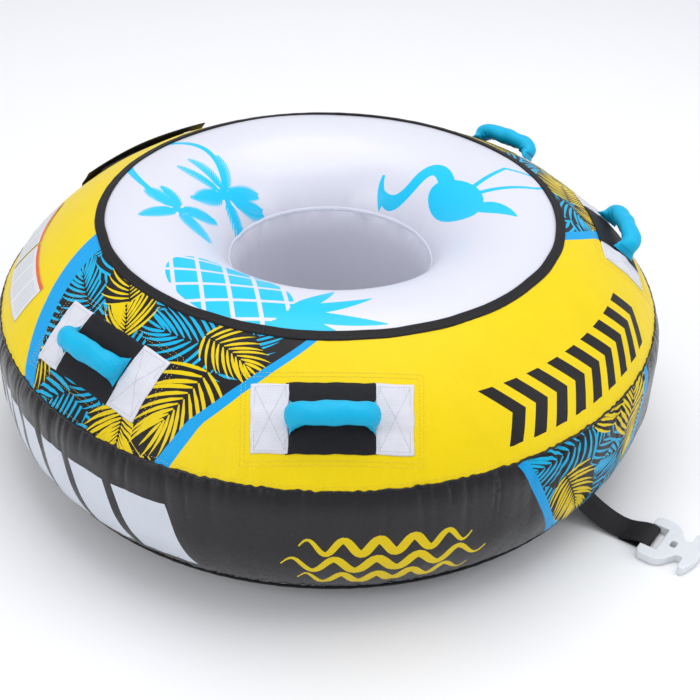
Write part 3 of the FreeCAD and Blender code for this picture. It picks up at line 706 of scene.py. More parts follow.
def foliage(az0, s0, half, seed, rows=((-95, 9), (-30, 8), (40, 8), (100, 7))):
    """A thicket of fronds round a centre, mostly cyan, in rows that lean both ways."""
    g = np.random.default_rng(seed)
    items = []
    for k, (y, count) in enumerate(rows):
        for i in range(count):
            x = -half + (i + 0.5) * 2 * half / count + g.uniform(-12, 12)
            yy = y + g.uniform(-14, 14)
            rot = g.uniform(25, 75) * (1 if (i + k) % 2 else -1) + (180 if g.random() < 0.35 else 0)
            items.append((T_CYAN, x, yy, rot, fr(g.uniform(95, 130), g.uniform(54, 70), 10,
                                                 g.uniform(5.0, 6.4), g.uniform(-0.25, 0.25),
                                                 int(g.integers(1e6)))))
    s = lambda y: s0 - y
    return [(t, az0 + math.degrees(x / float(section(np.array([s(y)]))[0][0])), s(y), rot, a)
            for t, x, y, rot, a in items]


S_GRIP = SR(GRIP_R / OUTER)
left_items = foliage(-42, S_GRIP, 185, 31)
AZ = lambda az0, x: az0 + math.degrees(x / 483.0)
left_items += [
    (T_LEAF, AZ(-43.8, 22), S_GRIP - 42, -30, fr(75, 78, 11, 8.0, -0.25, 41, open0=60, open1=10, bow=-35)),
    (T_LEAF, AZ(-43.8, -18), S_GRIP - 92, -60, fr(70, 60, 9, 6.5, 0.2, 46)),
    (T_LEAF, AZ(-43.8, 82), S_GRIP + 40, 165, fr(70, 84, 12, 8.5, 0.1, 42, open0=88, open1=25, bow=-30)),
    (T_LEAF, AZ(-43.8, 185), S_GRIP - 46, 200, fr(100, 84, 10, 9.0, 0.1, 43)),
    (T_LEAF, AZ(-43.8, 150), S_GRIP - 95, 100, fr(85, 52, 10, 6.5, 0.2, 44)),
    (T_LEAF, AZ(-43.8, -92), S_GRIP + 40, 190, fr(60, 48, 8, 6.0, 0.1, 45))]
back_items = foliage(116, S_GRIP, 320, 32, rows=((-95, 14), (-30, 14), (40, 13), (100, 12)))
for n, (x, y, rot) in enumerate([(-250, 60, 160), (-215, -40, 20), (-140, 85, 100), (-120, -60, 200),
                                 (-20, 70, 170), (10, -50, 30), (90, 95, 100), (130, 40, 190),
                                 (220, 70, 150), (250, -20, 20), (300, 60, 170)]):
    back_items.append((T_LEAF, AZ(116, x), S_GRIP - y, rot, fr(85, 70, 10, 8.0, 0.1, 60 + n)))
MID = (SS + SL) / 2
side_items = foliage(47.2, MID, 170, 33, rows=((-120, 7), (-60, 7), (0, 8), (60, 8), (115, 8)))
side_items += [(T_LEAF, 54.5, MID - 40, 20, fr(110, 85, 12, 9.0, 0.15, 71)),
               (T_LEAF, 50.5, MID + 95, 215, fr(80, 75, 12, 9.0, -0.2, 72)),
               (T_LEAF, 46.5, MID + 70, 170, fr(95, 80, 12, 9.5, 0.2, 73)),
               (T_LEAF, 38.5, MID - 55, 150, fr(90, 66, 11, 8.0, 0.1, 74)),
               (T_LEAF, 61.0, MID - 85, 195, fr(80, 66, 11, 8.0, 0.1, 75)),
               (T_LEAF, 45.0, MID - 105, 60, fr(85, 60, 11, 7.5, 0.1, 76))]


def chevrons(count, height, thick, gap, lean):
    """Arrow-like stripes in a row along +x."""
    out = []
    for i in range(count):
        x = (i - (count - 1) / 2) * (thick + gap)
        h = height / 2
        out.append(np.array([(x, -h), (x + thick, -h), (x + thick + lean, 0), (x + thick, h), (x, h),
                             (x + lean, 0)]))
    return [dense(p, 8) for p in out]


def bars(widths, height, lean, gap):
    """Slanted bars of the given widths."""
    out, x = [], 0.0
    for w in widths:
        out.append(dense([(x, -height / 2), (x + w, -height / 2), (x + w + lean, height / 2),
                          (x + lean, height / 2)], 8))
        x += w + gap
    return [p - (x / 2, 0) for p in out]


def wave_lines(length, crests, height, thick):
    """One wavy stroke that thins at both ends."""
    x = np.linspace(-length / 2, length / 2, crests * 14)
    t = (x + length / 2) / length
    y = height / 2 * np.sin(2 * math.pi * crests * t)
    w = thick / 2 * np.clip(np.sin(math.pi * t), 0.05, 1) ** 0.6
    return ribbon2d(np.column_stack([x, y]), w)


top_prints = [(between(LEFT_OUT, LEFT_IN), T_BLUE), (between(LEFT_IN, RIGHT_IN), T_INK),
              (between(RIGHT_IN, RIGHT_OUT), T_BLUE), (between(BACK_OUT, BACK_IN), T_BLUE),
              (between(BACK_IN, FAR_IN), T_INK), (between(FAR_IN, FAR_OUT), T_BLUE)]
top_prints += leaves(left_items, in_patch(LEFT_IN, RIGHT_IN))
top_prints += leaves(back_items, in_patch(BACK_IN, FAR_IN))
top_prints += [(p, T_INK) for p in place(chevrons(9, 88, 24, 19, 30), 47, SR(.905))]
ORDER_TOP = [YELLOW, INK, CYAN, LEAF, BLUE, INK_SHADE]
side_prints = [(between(SIDE_LEFT, SIDE_LEFT_IN), T_BLUE), (between(SIDE_LEFT_IN, SIDE_RIGHT_IN), T_INK),
               (between(SIDE_RIGHT_IN, SIDE_RIGHT), T_BLUE)]
side_prints += leaves(side_items, in_patch(SIDE_LEFT_IN, SIDE_RIGHT_IN))
side_prints += [(p, T_PALE) for p in place(bars((14, 22, 32, 44, 58, 74, 92), 118, -34, 17), -42, SS + 122)]
for dy, size in ((34, 250), (-2, 300), (-38, 250)):
    side_prints += [(p, T_WAVE) for p in place([wave_lines(size, 5, 26, 15)], 9, SS + 128 - dy)]
ORDER_SIDE = [BLACK, INK, CYAN, LEAF, BLUE, INK_SHADE, PALE, WAVE]

# ---- prints on the bladder, drawn in plan
def palm_tree(trunk, crown, spread, seed):
    """A palm seen against the sky: a bowed trunk and nine feathered fronds."""
    g = np.random.default_rng(seed)
    trunk = bezier(*trunk, 16)
    out = [ribbon2d(trunk, np.linspace(6.5, 3.6, 16))]
    for k in range(9):
        ang = k * 40 + g.uniform(-9, 9)
        size = spread * g.uniform(0.8, 1.08)
        bow = g.uniform(20, 50) * (1 if (k % 2) else -1)
        mid = np.array(crown) + 0.5 * size * np.array(sin_cos(ang))
        tip = mid + 0.55 * size * np.array(sin_cos(ang + bow))
        c = bezier(crown, mid, tip, 15)
        t = np.linspace(0, 1, 15)
        out.append(ribbon2d(c, 3.2 * (1 - t) + 0.8))
        d = np.gradient(c, axis=0)
        for i in range(2, 15):
            heading = math.degrees(math.atan2(d[i, 0], d[i, 1]))
            length = spread * 0.25 * math.sin(math.pi * min(1.0, 0.22 + 0.68 * t[i]))
            for side in (-1, 1):
                out.append(blade(c[i], heading + side * 38, length, side * -14, 3.2, 5))
    return out


def pineapple():
    """A fruit of diamond cells along +x, with a tuft of pointed leaves."""
    out = []
    a, b, cell = 118.0, 66.0, 41.0
    for i in range(-7, 8):
        for j in range(-7, 8):
            u, v = (i + 0.5) * cell, (j + 0.5) * cell
            x, y = (u - v) * 0.78, (u + v) * 0.62
            half = cell / 2 - 3.2
            quad = [(-half, -half), (half, -half), (half, half), (-half, half)]
            pts = dense([(x + (p - q) * 0.78, y + (p + q) * 0.62) for p, q in quad], 4)
            rad = np.hypot(pts[:, 0] / a, pts[:, 1] / b)
            if rad.min() > 0.97:
                continue
            pts = pts / np.maximum(rad, 1.0)[:, None]
            if np.ptp(pts[:, 0]) > 5 and np.ptp(pts[:, 1]) > 4:
                out.append(pts)
    for ang in (18, 42, 62, 80, 98, 118, 138, 162):
        size = 150 - 0.012 * (ang - 90) ** 2
        out.append(blade((a - 6, (90 - ang) * 0.28), ang, size, (ang - 90) * 0.5, 25, 9))
    return out


def wader():
    """A plain long-legged bird shape: body, neck, two legs."""
    t = np.linspace(0, 2 * math.pi, 26, endpoint=False)
    body = np.column_stack([74 * np.cos(t) * (1 - 0.18 * np.sin(t)), 38 * np.sin(t)])
    tail = blade((55, 4), 62, 92, 22, 34, 9)
    neck = np.vstack([bezier((-52, 10), (-118, 40), (-112, -20), 12),
                      bezier((-112, -20), (-106, -66), (-148, -74), 12)[1:]])
    head = ribbon2d(bezier((-140, -76), (-158, -78), (-172, -58), 8), np.linspace(10, 2.5, 8))
    leg1 = ribbon2d(bezier((0, 30), (-10, 90), (-22, 122), 8), np.linspace(6, 4, 8))
    shin1 = ribbon2d(bezier((-20, 120), (20, 160), (58, 196), 8), np.linspace(4, 3.4, 8))
    leg2 = ribbon2d(bezier((24, 30), (52, 84), (66, 130), 8), np.linspace(6, 4, 8))
    shin2 = ribbon2d(bezier((66, 128), (62, 170), (54, 206), 8), np.linspace(4, 3.4, 8))
    return [body, tail, ribbon2d(neck, np.linspace(15, 7, len(neck))), head, leg1, shin1, leg2, shin2]


bladder_prints = palm_tree(((-352, 128), (-318, 30), (-250, -8)), (-250, -8), 78, 3)
bladder_prints += palm_tree(((-300, 230), (-196, 208), (-183, 98)), (-183, 98), 78, 5)
bladder_prints += turned(pineapple(), -150, -262, 42)
bladder_prints += turned(wader(), 214, 72, 62, 0.92)

# ---------------------------------------------------------------- bladder and cover
BLADDER_CUT = -146.0
printed_ring("bladder_top", S_AT["weld"] - 4, SB + 4, BLADDER_CUT, 6.5, 6.0, bladder_shape,
             [(p, 1) for p in plan(bladder_prints)], 0, [PVC, PVC_CYAN], ("bladder_top_panel",),
             "white_pvc")
WALL_0, WALL_1 = S_AT["lowweld"] - 4, S_AT["end"] + S_AT["weld"] + 4
valve_hole = np.array([(math.degrees(VALVE_HOLE / (HOLE - 2) * math.cos(q)),
                        S_AT["wall"] + (VALVE_Z - FOOT_BEND) + VALVE_HOLE * math.sin(q))
                       for q in np.linspace(0, 2 * math.pi, 40, endpoint=False)])
printed_ring("bladder_wall", WALL_0, WALL_1, -180.0, 4.5, 5.0, wall_shape, [(valve_hole, -1)], 0, [PVC],
             ("bladder_inner_wall",), "white_pvc")
plain_ring("bladder_side", SS - 2, SL + 2, 24, 20, lambda a, s: (0 * s - 4.5, 0 * s), PVC,
           ("bladder_outer_wall",), "white_pvc")
plain_ring("bladder_bottom", SL + 2, S_AT["lowweld"] + 4, 8, 8,
           lambda a, s: (waves(a, s, 29, (7, 11, 17), 0.3, 0.02) - 2.6, 0 * s), PVC,
           ("bladder_bottom_panel",), "white_pvc")
cover_top = printed_ring("cover_top", SB - 1, SS, 180.0, 6.0, 5.5, top_shape, top_prints, T_YELLOW,
                         ORDER_TOP, ("cover_top_panel",), "yellow_nylon", T_INK)
cover_side = printed_ring("cover_side", SS, SL, 180.0, 4.5, 7.0, side_shape, side_prints, 0,
                          ORDER_SIDE, ("cover_side_panel",), "black_nylon", T_INK)
cover_bottom = plain_ring("cover_bottom", SL, S_AT["opening"] + 2, 5.0, 6.0, bottom_shape, BLACK,
                          ("cover_bottom_panel",), "black_nylon")
panel_sheet(SB - 1, SS)
panel_sheet(SS, SL)
panel_sheet(SL, S_AT["opening"] + 2)

# ---------------------------------------------------------------- bindings, seams and welds
def tape_wobble(seed):
    """The small wander and puff of a sewn tape."""
    def wobble(az, s, lift):
        slip = waves(az, 0 * s, seed, (9, 14, 23, 31), 0.5) * (lift > -1.4)
        puff = waves(az, 0 * s, seed + 1, (47, 61, 83), 0.14) * (lift > 0)
        return slip, puff
    return wobble


TAPE_OUT = [(-15.3, -1.9), (-16.0, -0.9), (-15.7, 0.6), (-14.6, 1.25), (-12, 1.35), (-8, 1.05),
            (-4.5, 0.95), (-2.4, 1.4), (-0.6, 1.35), (0.5, 0.7), (0.9, -0.3), (0.6, -1.8)]
strip_ring("binding_top", TAPE_OUT[::-1], SB, TAPE, ("top_binding",), "black_webbing",
           tape_wobble(81))
low_tape = [(-x, n) for x, n in TAPE_OUT]
strip_ring("binding_bottom", low_tape, S_AT["opening"], TAPE, ("bottom_binding",), "black_webbing",
           tape_wobble(83), step=6)


def seam_wobble(az, s, lift):
    return seam_line(az), waves(az, 0 * s, 85, (149, 187, 233), 0.22) * (lift > -0.5)


strip_ring("seam_upper", [(-0.9, -1.6), (2.6, -1.6), (3.0, 0.0), (2.2, 0.9), (0.9, 1.15),
                          (-0.4, 0.8), (-1.0, 0.0)], SS, BLACK, ("upper_seam_welt",), "black_webbing",
           seam_wobble, step=3.2)
q = np.linspace(0, 2 * math.pi, 10, endpoint=False)
strip_ring("seam_lower", np.column_stack([2.5 * np.cos(q), 2.0 + 2.3 * np.sin(q)]), SL, TAPE,
           ("lower_seam_welt",), "black_webbing",
           lambda a, s, n: (waves(a, 0 * s, 87, (31, 47, 71), 0.5), waves(a, 0 * s, 88, (97, 131), 0.15)),
           step=4)


def weld_wobble(az, s, lift):
    return 0 * s, bladder_shape(az, s)[0] + waves(az, 0 * s, 89, (53, 79), 0.08)


BAND = [(-3.4, -0.6), (-3.1, 0.45), (-2.2, 0.7), (2.2, 0.7), (3.1, 0.45), (3.4, -0.6)]
strip_ring("weld_upper", BAND[::-1], S_AT["weld"], WELD, ("upper_weld_ring",), "white_pvc", weld_wobble)
strip_ring("weld_lower", BAND[::-1], S_AT["lowweld"], WELD, ("lower_weld_ring",), "white_pvc",
           lambda a, s, n: (0 * s, -2.3 + 0 * s), step=6)


# ---------------------------------------------------------------- stitches
def grains(runs, size, across=False):
    """Pointed grains along runs of (points, normals) in metres; size is length, width, height in mm."""
    length, width, height = (v * MM / 2 for v in size)
    verts, faces = [], []
    for pts, nrm in runs:
        d = np.gradient(pts, axis=0)
        d /= np.linalg.norm(d, axis=1)[:, None]
        side = np.cross(nrm, d)
        for p, t, b, n in zip(pts, *((side, d) if across else (d, side)), nrm):
            k = len(verts)
            verts += [p - t * length, p + t * length, p + b * width, p + n * height, p - b * width,
                      p - n * height]
            for i in range(4):
                a, c = k + 2 + i, k + 2 + (i + 1) % 4
                faces += [(k, a, c), (k + 1, c, a)] if across else [(k, c, a), (k + 1, a, c)]
    return verts, faces


def stitches(name, runs, size, mat, body, slot):
    """A piece of thread from runs of stitches."""
    return make(name, *grains(runs, size), mat, body, slot)


def ring_run(s, lift, pitch, shape=None):
    """A line of stitches round the tube, at a distance along its section."""
    r = float(section(np.array([s]))[0][0])
    n = int(2 * math.pi * r / pitch)
    az, s = np.linspace(-180, 180, n, endpoint=False), np.full(n, float(s))
    off, slip = shape(az, s) if shape else (0, 0)
    return surf(az, s + slip, off + lift), outward(az, s)


stitches("stitch_seam", [ring_run(SS - 6.0, 0.25, 5.2, top_shape)], (3.4, 0.8, 0.7), THREAD_GOLD,
         "tube", "yellow_nylon")
stitches("stitch_binding", [ring_run(SB - 4.4, 1.1, 4.8)], (3.2, 0.8, 0.6), THREAD_BLACK, "tube",
         "black_webbing")
stitches("stitch_lower", [ring_run(SL - 6.0, 0.3, 5.6, side_shape)], (3.6, 0.8, 0.6), THREAD_BLACK,
         "tube", "black_webbing")

# ---------------------------------------------------------------- grips
PANEL_SLOPE = 41.0


def spin(p, az):
    """Points in mm at azimuth 0, turned to an azimuth, in metres."""
    k, c = sin_cos(az)
    p = np.asarray(p, float)
    return np.column_stack([p[:, 0] * c - p[:, 1] * k, p[:, 0] * k + p[:, 1] * c, p[:, 2]]) * MM


def touch(slope):
    """A slope's sine and cosine, and the radius and height where the top panel has it."""
    k, c = sin_cos(slope)
    return k, c, TOP_C[0] + TOP_BEND * k, TOP_C[1] + TOP_BEND * c


def on_panel(X, V, N, slope=PANEL_SLOPE):
    """Points on the curved top panel under a plane that touches it at a slope, and their normals."""
    X, V, N = np.broadcast_arrays(X, V, N)
    s0, c0, br, bz = touch(slope)
    th, ph = X / br, math.radians(slope) - V / TOP_BEND
    for _ in range(9):
        r, z = TOP_C[0] + (TOP_BEND + N) * np.sin(ph), TOP_C[1] + (TOP_BEND + N) * np.cos(ph)
        x, y = r * np.sin(th), -r * np.cos(th)
        th = th + (X - x) / (r * np.cos(th))
        ph = ph - (V - ((y + br) * c0 + (z - bz) * s0)) / (TOP_BEND + N)
    nrm = np.column_stack([(np.sin(ph) * np.sin(th)).ravel(), (-np.sin(ph) * np.cos(th)).ravel(),
                           np.cos(ph).ravel()])
    return np.column_stack([x.ravel(), y.ravel(), z.ravel()]), nrm


def in_plane(X, V, N, slope=PANEL_SLOPE):
    """Points square to the panel at a slope, in mm, at azimuth 0."""
    s0, c0, br, bz = touch(slope)
    X, V, N = np.broadcast_arrays(X, V, N)
    return np.column_stack([X.ravel(), (-br + V * c0 - N * s0).ravel(), (bz + V * s0 + N * c0).ravel()])


def slab(name, X, V, top, low, az, mat, slot, node):
    """A closed flat piece on the top panel, from grids of X and V, and the lift of its two faces."""
    verts = spin(np.vstack([on_panel(X, V, top)[0], on_panel(X, V, low)[0]]), az)
    uv = np.column_stack([X.ravel(), V.ravel()]) * MM
    return make(name, verts, slab_faces(*X.shape, flip=True), mat, "tube", slot, (node,), None,
                np.vstack([uv, uv]))


def panel_run(X, V, lift, az):
    """Stitches at points of the top panel, as (points, normals)."""
    pts, nrm = on_panel(X, V, lift)
    return spin(pts, az), spin(nrm / MM, az)


def spaced(p, q, n):
    """n points between two corners, as their two coordinates."""
    t = (np.arange(n) + 0.5) / n
    return p[0] + (q[0] - p[0]) * t, p[1] + (q[1] - p[1]) * t


def box_runs(x0, x1, v0, v1, pitch, lift, az):
    """Stitches round a box on the top panel, one run a side."""
    c = [(x0, v0), (x1, v0), (x1, v1), (x0, v1)]
    return [panel_run(*spaced(p, q, max(2, int(math.dist(p, q) / pitch))), lift, az)
            for p, q in zip(c, c[1:] + c[:1])]


def fold(t, seed, count, amp):
    """A soft irregular ripple."""
    g = np.random.default_rng(seed)
    out = 0 * t
    for _ in range(count):
        out = out + np.sin(t * g.uniform(3, 16) + g.uniform(0, 6.28)) * g.uniform(0.4, 1)
    return out * amp / math.sqrt(count)


def grip_pad(grip, az, seed):
    """The quilted knuckle pad under a grip."""
    X, V = np.meshgrid(np.linspace(-64, 64, 44), np.linspace(-50, 50, 36), indexing="ij")
    V = V + 0.5 * np.sin(X / 9 + seed) * (np.abs(V) > 44) + 0.35 * np.sin(X / 4.3 + seed)
    edge = 1 - np.maximum(np.abs(X) / 66, np.abs(V) / 50.6).clip(0, 1) ** 14
    quilt = 0.35 * np.cos(V / 50 * math.pi) + 0.25 * fold(X / 10 + V / 25, seed, 5, 1.0)
    top = 0.55 + (2.1 + quilt) * np.sqrt(edge.clip(0, 1))
    top = np.where(np.abs(X) > 58.6, np.minimum(top, 0.9), top)
    obj = slab(grip + "_pad", X, V, top, 0 * X + 0.3, az, PAD, "pad_fabric", grip + "_knuckle_pad")


def web_hump(X, V):
    """How far the canvas rises over the webbing sewn under it."""
    return 2.5 * np.exp(-(V / 15) ** 4) * np.clip((111 - np.abs(X)) / 6, 0, 1)


def grip_patch(grip, az, side, seed):
    """One canvas patch over a grip's foot; its stitches are returned as runs."""
    g = np.random.default_rng(seed)
    u, v = np.meshgrid(np.linspace(0, 1, 30), np.linspace(-1, 1, 44), indexing="ij")
    V = v * (49.5 + g.uniform(-1.2, 1.2)) + 0.7 * np.sin(u * 5 + seed)
    inner = 59 + g.uniform(1.5, 5.5) * np.exp(-((v * 50 - g.uniform(-4, 4)) / 19) ** 2)
    inner = inner + 0.5 * np.sin(v * 9 + seed)
    outer = 112 + g.uniform(-1.5, 1.5) + g.uniform(-1.6, 1.6) * v + 0.5 * np.sin(v * 7 + seed)
    X = inner + (outer - inner) * u
    near_in = 1.4 * np.exp(-((X - inner) / 7) ** 2) * np.exp(-(V / 30) ** 2)
    top = 1.5 + web_hump(X, V) + near_in + 0.18 * fold(X / 6 + V / 9, seed, 5, 1.0)
    rim = np.minimum(np.minimum(u, 1 - u) * 52, (1 - np.abs(v)) * 50)
    top = top - 0.7 * np.exp(-(rim / 1.2) ** 2)
    if side < 0:
        X, V, top = -X[::-1], V[::-1], top[::-1]
    patch = grip + "_patch_" + ("a" if side < 0 else "b")
    slab(patch + "_canvas", X, V, top, 0 * X + 0.25, az, CANVAS, "white_patch", patch)
    x0, x1, lift = side * 65.0, side * 107.0, 1.75
    runs = box_runs(x0, x1, -45, 45, 3.1, lift, az)
    runs += box_runs(side * 63.0, side * 63.1, -46, 46, 3.1, lift + 0.1, az)[1:2]
    for p, q in (((x0, -43), (x1, 43)), ((x0, 43), (x1, -43))):
        X, V = spaced(p, q, 34)
        runs.append(panel_run(X, V, lift + web_hump(X, V), az))
    return runs


def half_path():
    """The grip's centre line from a foot to the middle of the bar, as (X, N) in mm."""
    q = np.radians(np.linspace(0, 90, 14))
    pts = [(58.4, 2.9), (57.8, 5.0), (56.8, 7.5), (55.6, 10.0)]
    pts += [(34 + 20.6 * math.cos(a), 11 + 19.4 * math.sin(a)) for a in q]
    pts += [(22, 30.8), (10, 31.2), (0, 31.4)]
    return np.array(pts)


def along(path):
    """Distance along a line of points."""
    return np.concatenate([[0], np.cumsum(np.hypot(*np.diff(path, axis=0).T))])


def resampled(path, at):
    """Points of a line at distances along it."""
    return np.column_stack([np.interp(at, along(path), path[:, k]) for k in (0, 1)])


def tube_grip(grip, az, seed, shrink, mat, part, slot, cut=0.0):
    """The padded bar or its foam: flat and wide at its sewn feet, round along the bar."""
    g = np.random.default_rng(seed)
    e = np.linspace(cut, along(half_path())[-1], 50)
    half = resampled(half_path(), e)
    path = np.vstack([half * (-1, 1), half[::-1][1:]])
    dist = np.concatenate([e, e[::-1][1:]])
    out = normals_along(path)
    grow = np.clip(dist / 19, 0, 1)
    grow = grow * grow * (3 - 2 * grow)
    h = (1.3 + 13.1 * grow ** 0.8) - shrink * grow
    w = 24.5 - 7.6 * np.clip(dist / 15, 0, 1) ** 0.7 - shrink
    run = along(path)
    n, m = len(path), 40
    th = np.linspace(0, 2 * math.pi, m, endpoint=False)
    inner_side = np.clip(-np.cos(th), 0, 1)
    wav = g.uniform(0, 6.28, 12)[4:]
    seam_at = math.pi * 1.16 + 0.06 * np.sin(run / 13 + wav[0])
    verts, uv = [], []
    for i in range(n):
        bendy, foot = math.exp(-((dist[i] - 24) / 11) ** 2), math.exp(-(dist[i] / 9) ** 2)
        ripple = (np.sin(run[i] / 2.1 + wav[1] + 0.7 * np.sin(th)) * bendy * inner_side * 1.5
                  + np.sin(run[i] / 4.7 + wav[2] + th) * 0.42
                  + np.sin(run[i] / 9.5 + wav[3] + 2 * th) * 0.75
                  + np.sin(5 * th + wav[4] + run[i] / 12) * (0.18 + 0.8 * foot) * 0.6)
        ridge = 1.5 * np.exp(-((th - seam_at[i]) / 0.13) ** 2)
        ridge = ridge * (0.5 + 0.5 * np.sin(run[i] / 5.3 + wav[5]) ** 2) * min(1.0, dist[i] / 25)
        add = 0 * th if shrink else (ripple + ridge) * grow[i]
        X = path[i, 0] + out[i, 0] * (h[i] + add) * np.cos(th)
        N = path[i, 1] + out[i, 1] * (h[i] + add) * np.cos(th)
        V = (w[i] + add) * np.sin(th) + 0.8 * math.sin(run[i] / 30 + wav[6])
        verts.append(in_plane(X, V, N))
        uv.append(np.column_stack([th * 16.5, np.full(m, run[i])]))
    faces = flipped(grid_faces(n, m, False, True))
    faces += [tuple(range(m))[::-1], tuple((n - 1) * m + j for j in range(m))]
    obj = make(grip + "_" + part, spin(np.vstack(verts), az), faces, mat, None, slot,
               (grip + "_grip_" + part,), None, np.vstack(uv) * MM)
    a, b = spin(in_plane(0, 0, np.array([4.2, 17.0])), az)
    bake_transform(obj)
    return obj


def build_grips():
    """The four grips, each with its pad, patches, stitches, sleeve and foam."""
    for k, (grip, az) in enumerate(GRIPS.items()):
        grip_pad(grip, az, 100 + k)
        runs = grip_patch(grip, az, -1, 110 + k) + grip_patch(grip, az, 1, 120 + k)
        stitches(grip + "_patch_stitches", runs, (1.8, 0.9, 0.6), THREAD_GREY, "tube", "white_patch")
        rim = box_runs(-120, 120, -59, 59, 4.6, 0.4, az) + box_runs(-126, 126, -65, 65, 4.6, 0.4, az)
        stitches(grip + "_panel_stitches", rim, (3.0, 1.0, 0.8), THREAD_GOLD, "tube", "yellow_nylon")
        sleeve = tube_grip(grip, az, 130 + k, 0.0, SLEEVE, "sleeve", "cyan_nylon")
        tube_grip(grip, az, 130 + k, 2.0, FOAM, "foam", "grey_foam", cut=8.0)


build_grips()


# ---------------------------------------------------------------- labels
def ring_patch(name, az, s, top, low, mats, slot, node, index=()):
    """A closed flat piece lying on the tube's surface, from grids of azimuth and distance."""
    a, d = az.ravel(), s.ravel()
    faces = slab_faces(*az.shape)
    uv = np.column_stack([np.radians(a) * 500, d]) * MM
    index = list(index) + [0] * (len(faces) - len(index))
    make(name, np.vstack([surf(a, d, top.ravel()), surf(a, d, low.ravel())]), faces, mats, "tube", slot,
         (node,), index, np.vstack([uv, uv]))


def on_top(phi):
    """Distance along the section where the top panel's normal leans out by phi degrees."""
    return float(SB + math.radians(phi - BINDING_PHI) * TOP_BEND)


def label(name, az0, az1, node, seed):
    """A sewn label with an orange hem and faint blank rules."""
    s0, s1 = on_top(40.0), on_top(52.0)
    n, m = 76, 22
    az, s = np.meshgrid(np.linspace(az0, az1, n), np.linspace(s0, s1, m), indexing="ij")
    rim = np.minimum(np.minimum(az - az0, az1 - az) * 8, np.minimum(s - s0, s1 - s))
    lift = 0.75 + 0.12 * fold(az / 2 + s / 12, seed, 4, 1.0)
    lift = lift + 0.5 * np.exp(-(rim / 3) ** 2) * (np.sin(az * 0.9 + seed) > 0.6)
    index = [1 if j < 2 else (2 if (3 < j < m - 3 and i % 4 == 1 and i % 24 != 1) else 0)
             for i in range(n - 1) for j in range(m - 1)]
    ring_patch(name, az, s, lift, lift - 0.5, [LABEL, LABEL_TINT, LABEL_GREY], "label_fabric", node, index)


label("label_front", -86.0, -69.0, "front_label", 3)
label("label_rear", -103.5, -87.0, "rear_label", 4)

# ---------------------------------------------------------------- zipper and its flap
ZIP_AZ = -132.8
FLAP_SLOPE = 41.5


def flap_point(X, V, N):
    """The flap lies along the tube's curve, its right end lifted more than its left."""
    left = (X + 140) / 280
    N = N * (1.05 - 0.42 * left)
    V = np.where(V > 0, V * (1 - 0.4 * left), V)
    return 0.12 * in_plane(X, V, N, FLAP_SLOPE) + 0.88 * on_panel(X, V, N, FLAP_SLOPE)[0]


def flap_direction(V, N):
    """A direction in the flap's own plane, in mm at azimuth 0."""
    return in_plane(0, V, N, FLAP_SLOPE) - in_plane(0, 0, 0, FLAP_SLOPE)


def flap():
    """The hemmed cloth flap over the zipper, with its three rows of stitches."""
    X, W = np.meshgrid(np.linspace(-140, 140, 90), np.linspace(2.0, 52.77, 14), indexing="ij")
    dv, dn = 52 / 52.77, 9 / 52.77
    W = W + 0.35 * np.sin(X / 17) * (W > 50)
    curl = 0.5 * np.sin(X / 33 + 1) * (W / 52) ** 2 - 0.5 * np.sin(math.pi * W / 54)
    rim = np.minimum(np.minimum(X + 140, 140 - X), np.minimum(W - 1.5, 53.2 - W)).clip(0, 4)
    half = 0.55 + 0.65 * np.sqrt((rim / 4).clip(0, 1))
    hem = 0.3 * (W > 41)
    V, N = -26 + W * dv, 6 + W * dn
    verts = [flap_point(X, V - dn * lift, N + dv * lift) for lift in (curl + half + hem, curl - half)]
    uv = np.column_stack([X.ravel(), W.ravel()]) * MM
    panel = make("flap_panel", spin(np.vstack(verts), ZIP_AZ), slab_faces(*X.shape, flip=True), FLAP_CLOTH,
                 "rear_flap", "black_nylon", ("zipper_flap",), None, np.vstack([uv, uv]))
    t = np.linspace(-134, 134, 60)
    nrm = spin(np.repeat(flap_direction(-dn, dv), len(t), axis=0) / MM, ZIP_AZ)
    runs = []
    for w0 in (47.5, 41.5, 7.0):
        v0, n0 = -26 + w0 * dv, 6 + w0 * dn
        pts = flap_point(t, v0 - dn * 1.5, n0 + dv * (1.7 - 0.5 * math.sin(math.pi * w0 / 54)))
        runs.append((spin(pts, ZIP_AZ), nrm))
    stitches("flap_stitches", runs, (3.4, 0.8, 0.6), THREAD_GREY, "rear_flap", "black_nylon")


def flap_hinge():
    """The cloth that joins the flap to the cover, curving from the one to the other."""
    X, U = np.meshgrid(np.linspace(-139, 139, 70), np.linspace(0, 1, 9), indexing="ij")
    on_cover = on_panel(X, -46 + 12 * U, 0.7, FLAP_SLOPE)[0]
    on_flap = flap_point(X, -26 + 6 * U, 6.2 + 1.1 * U)
    t = np.clip((U.ravel() - 0.25) / 0.6, 0, 1)[:, None]
    t = t * t * (3 - 2 * t)
    face = on_cover * (1 - t) + on_flap * t
    verts = spin(np.vstack([face, face + flap_direction(0, -0.8)]), ZIP_AZ)
    uv = np.column_stack([X.ravel(), U.ravel() * 25]) * MM
    hinge = make("flap_hinge", verts, slab_faces(*X.shape, flip=True), FLAP_CLOTH, None, "black_nylon", (),
                 None, np.vstack([uv, uv]))
    a, b = spin(in_plane(0, np.array([-33, -24]), np.array([3, 6.5]), FLAP_SLOPE), ZIP_AZ)
    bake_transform(hinge)


def zipper():
    """The zipper's teeth, lying across its line."""
    az = ZIP_AZ + np.linspace(-13.3, 13.3, 150)
    middle = np.full(150, on_top(40.2))
    runs = [(surf(az, middle + side * 1.6, 3.35), outward(az, middle)) for side in (-1, 1)]
    make("zipper_teeth", *grains(runs, (3.4, 1.1, 1.4), across=True), COIL, "tube", "black_plastic")


flap()
flap_hinge()
zipper()


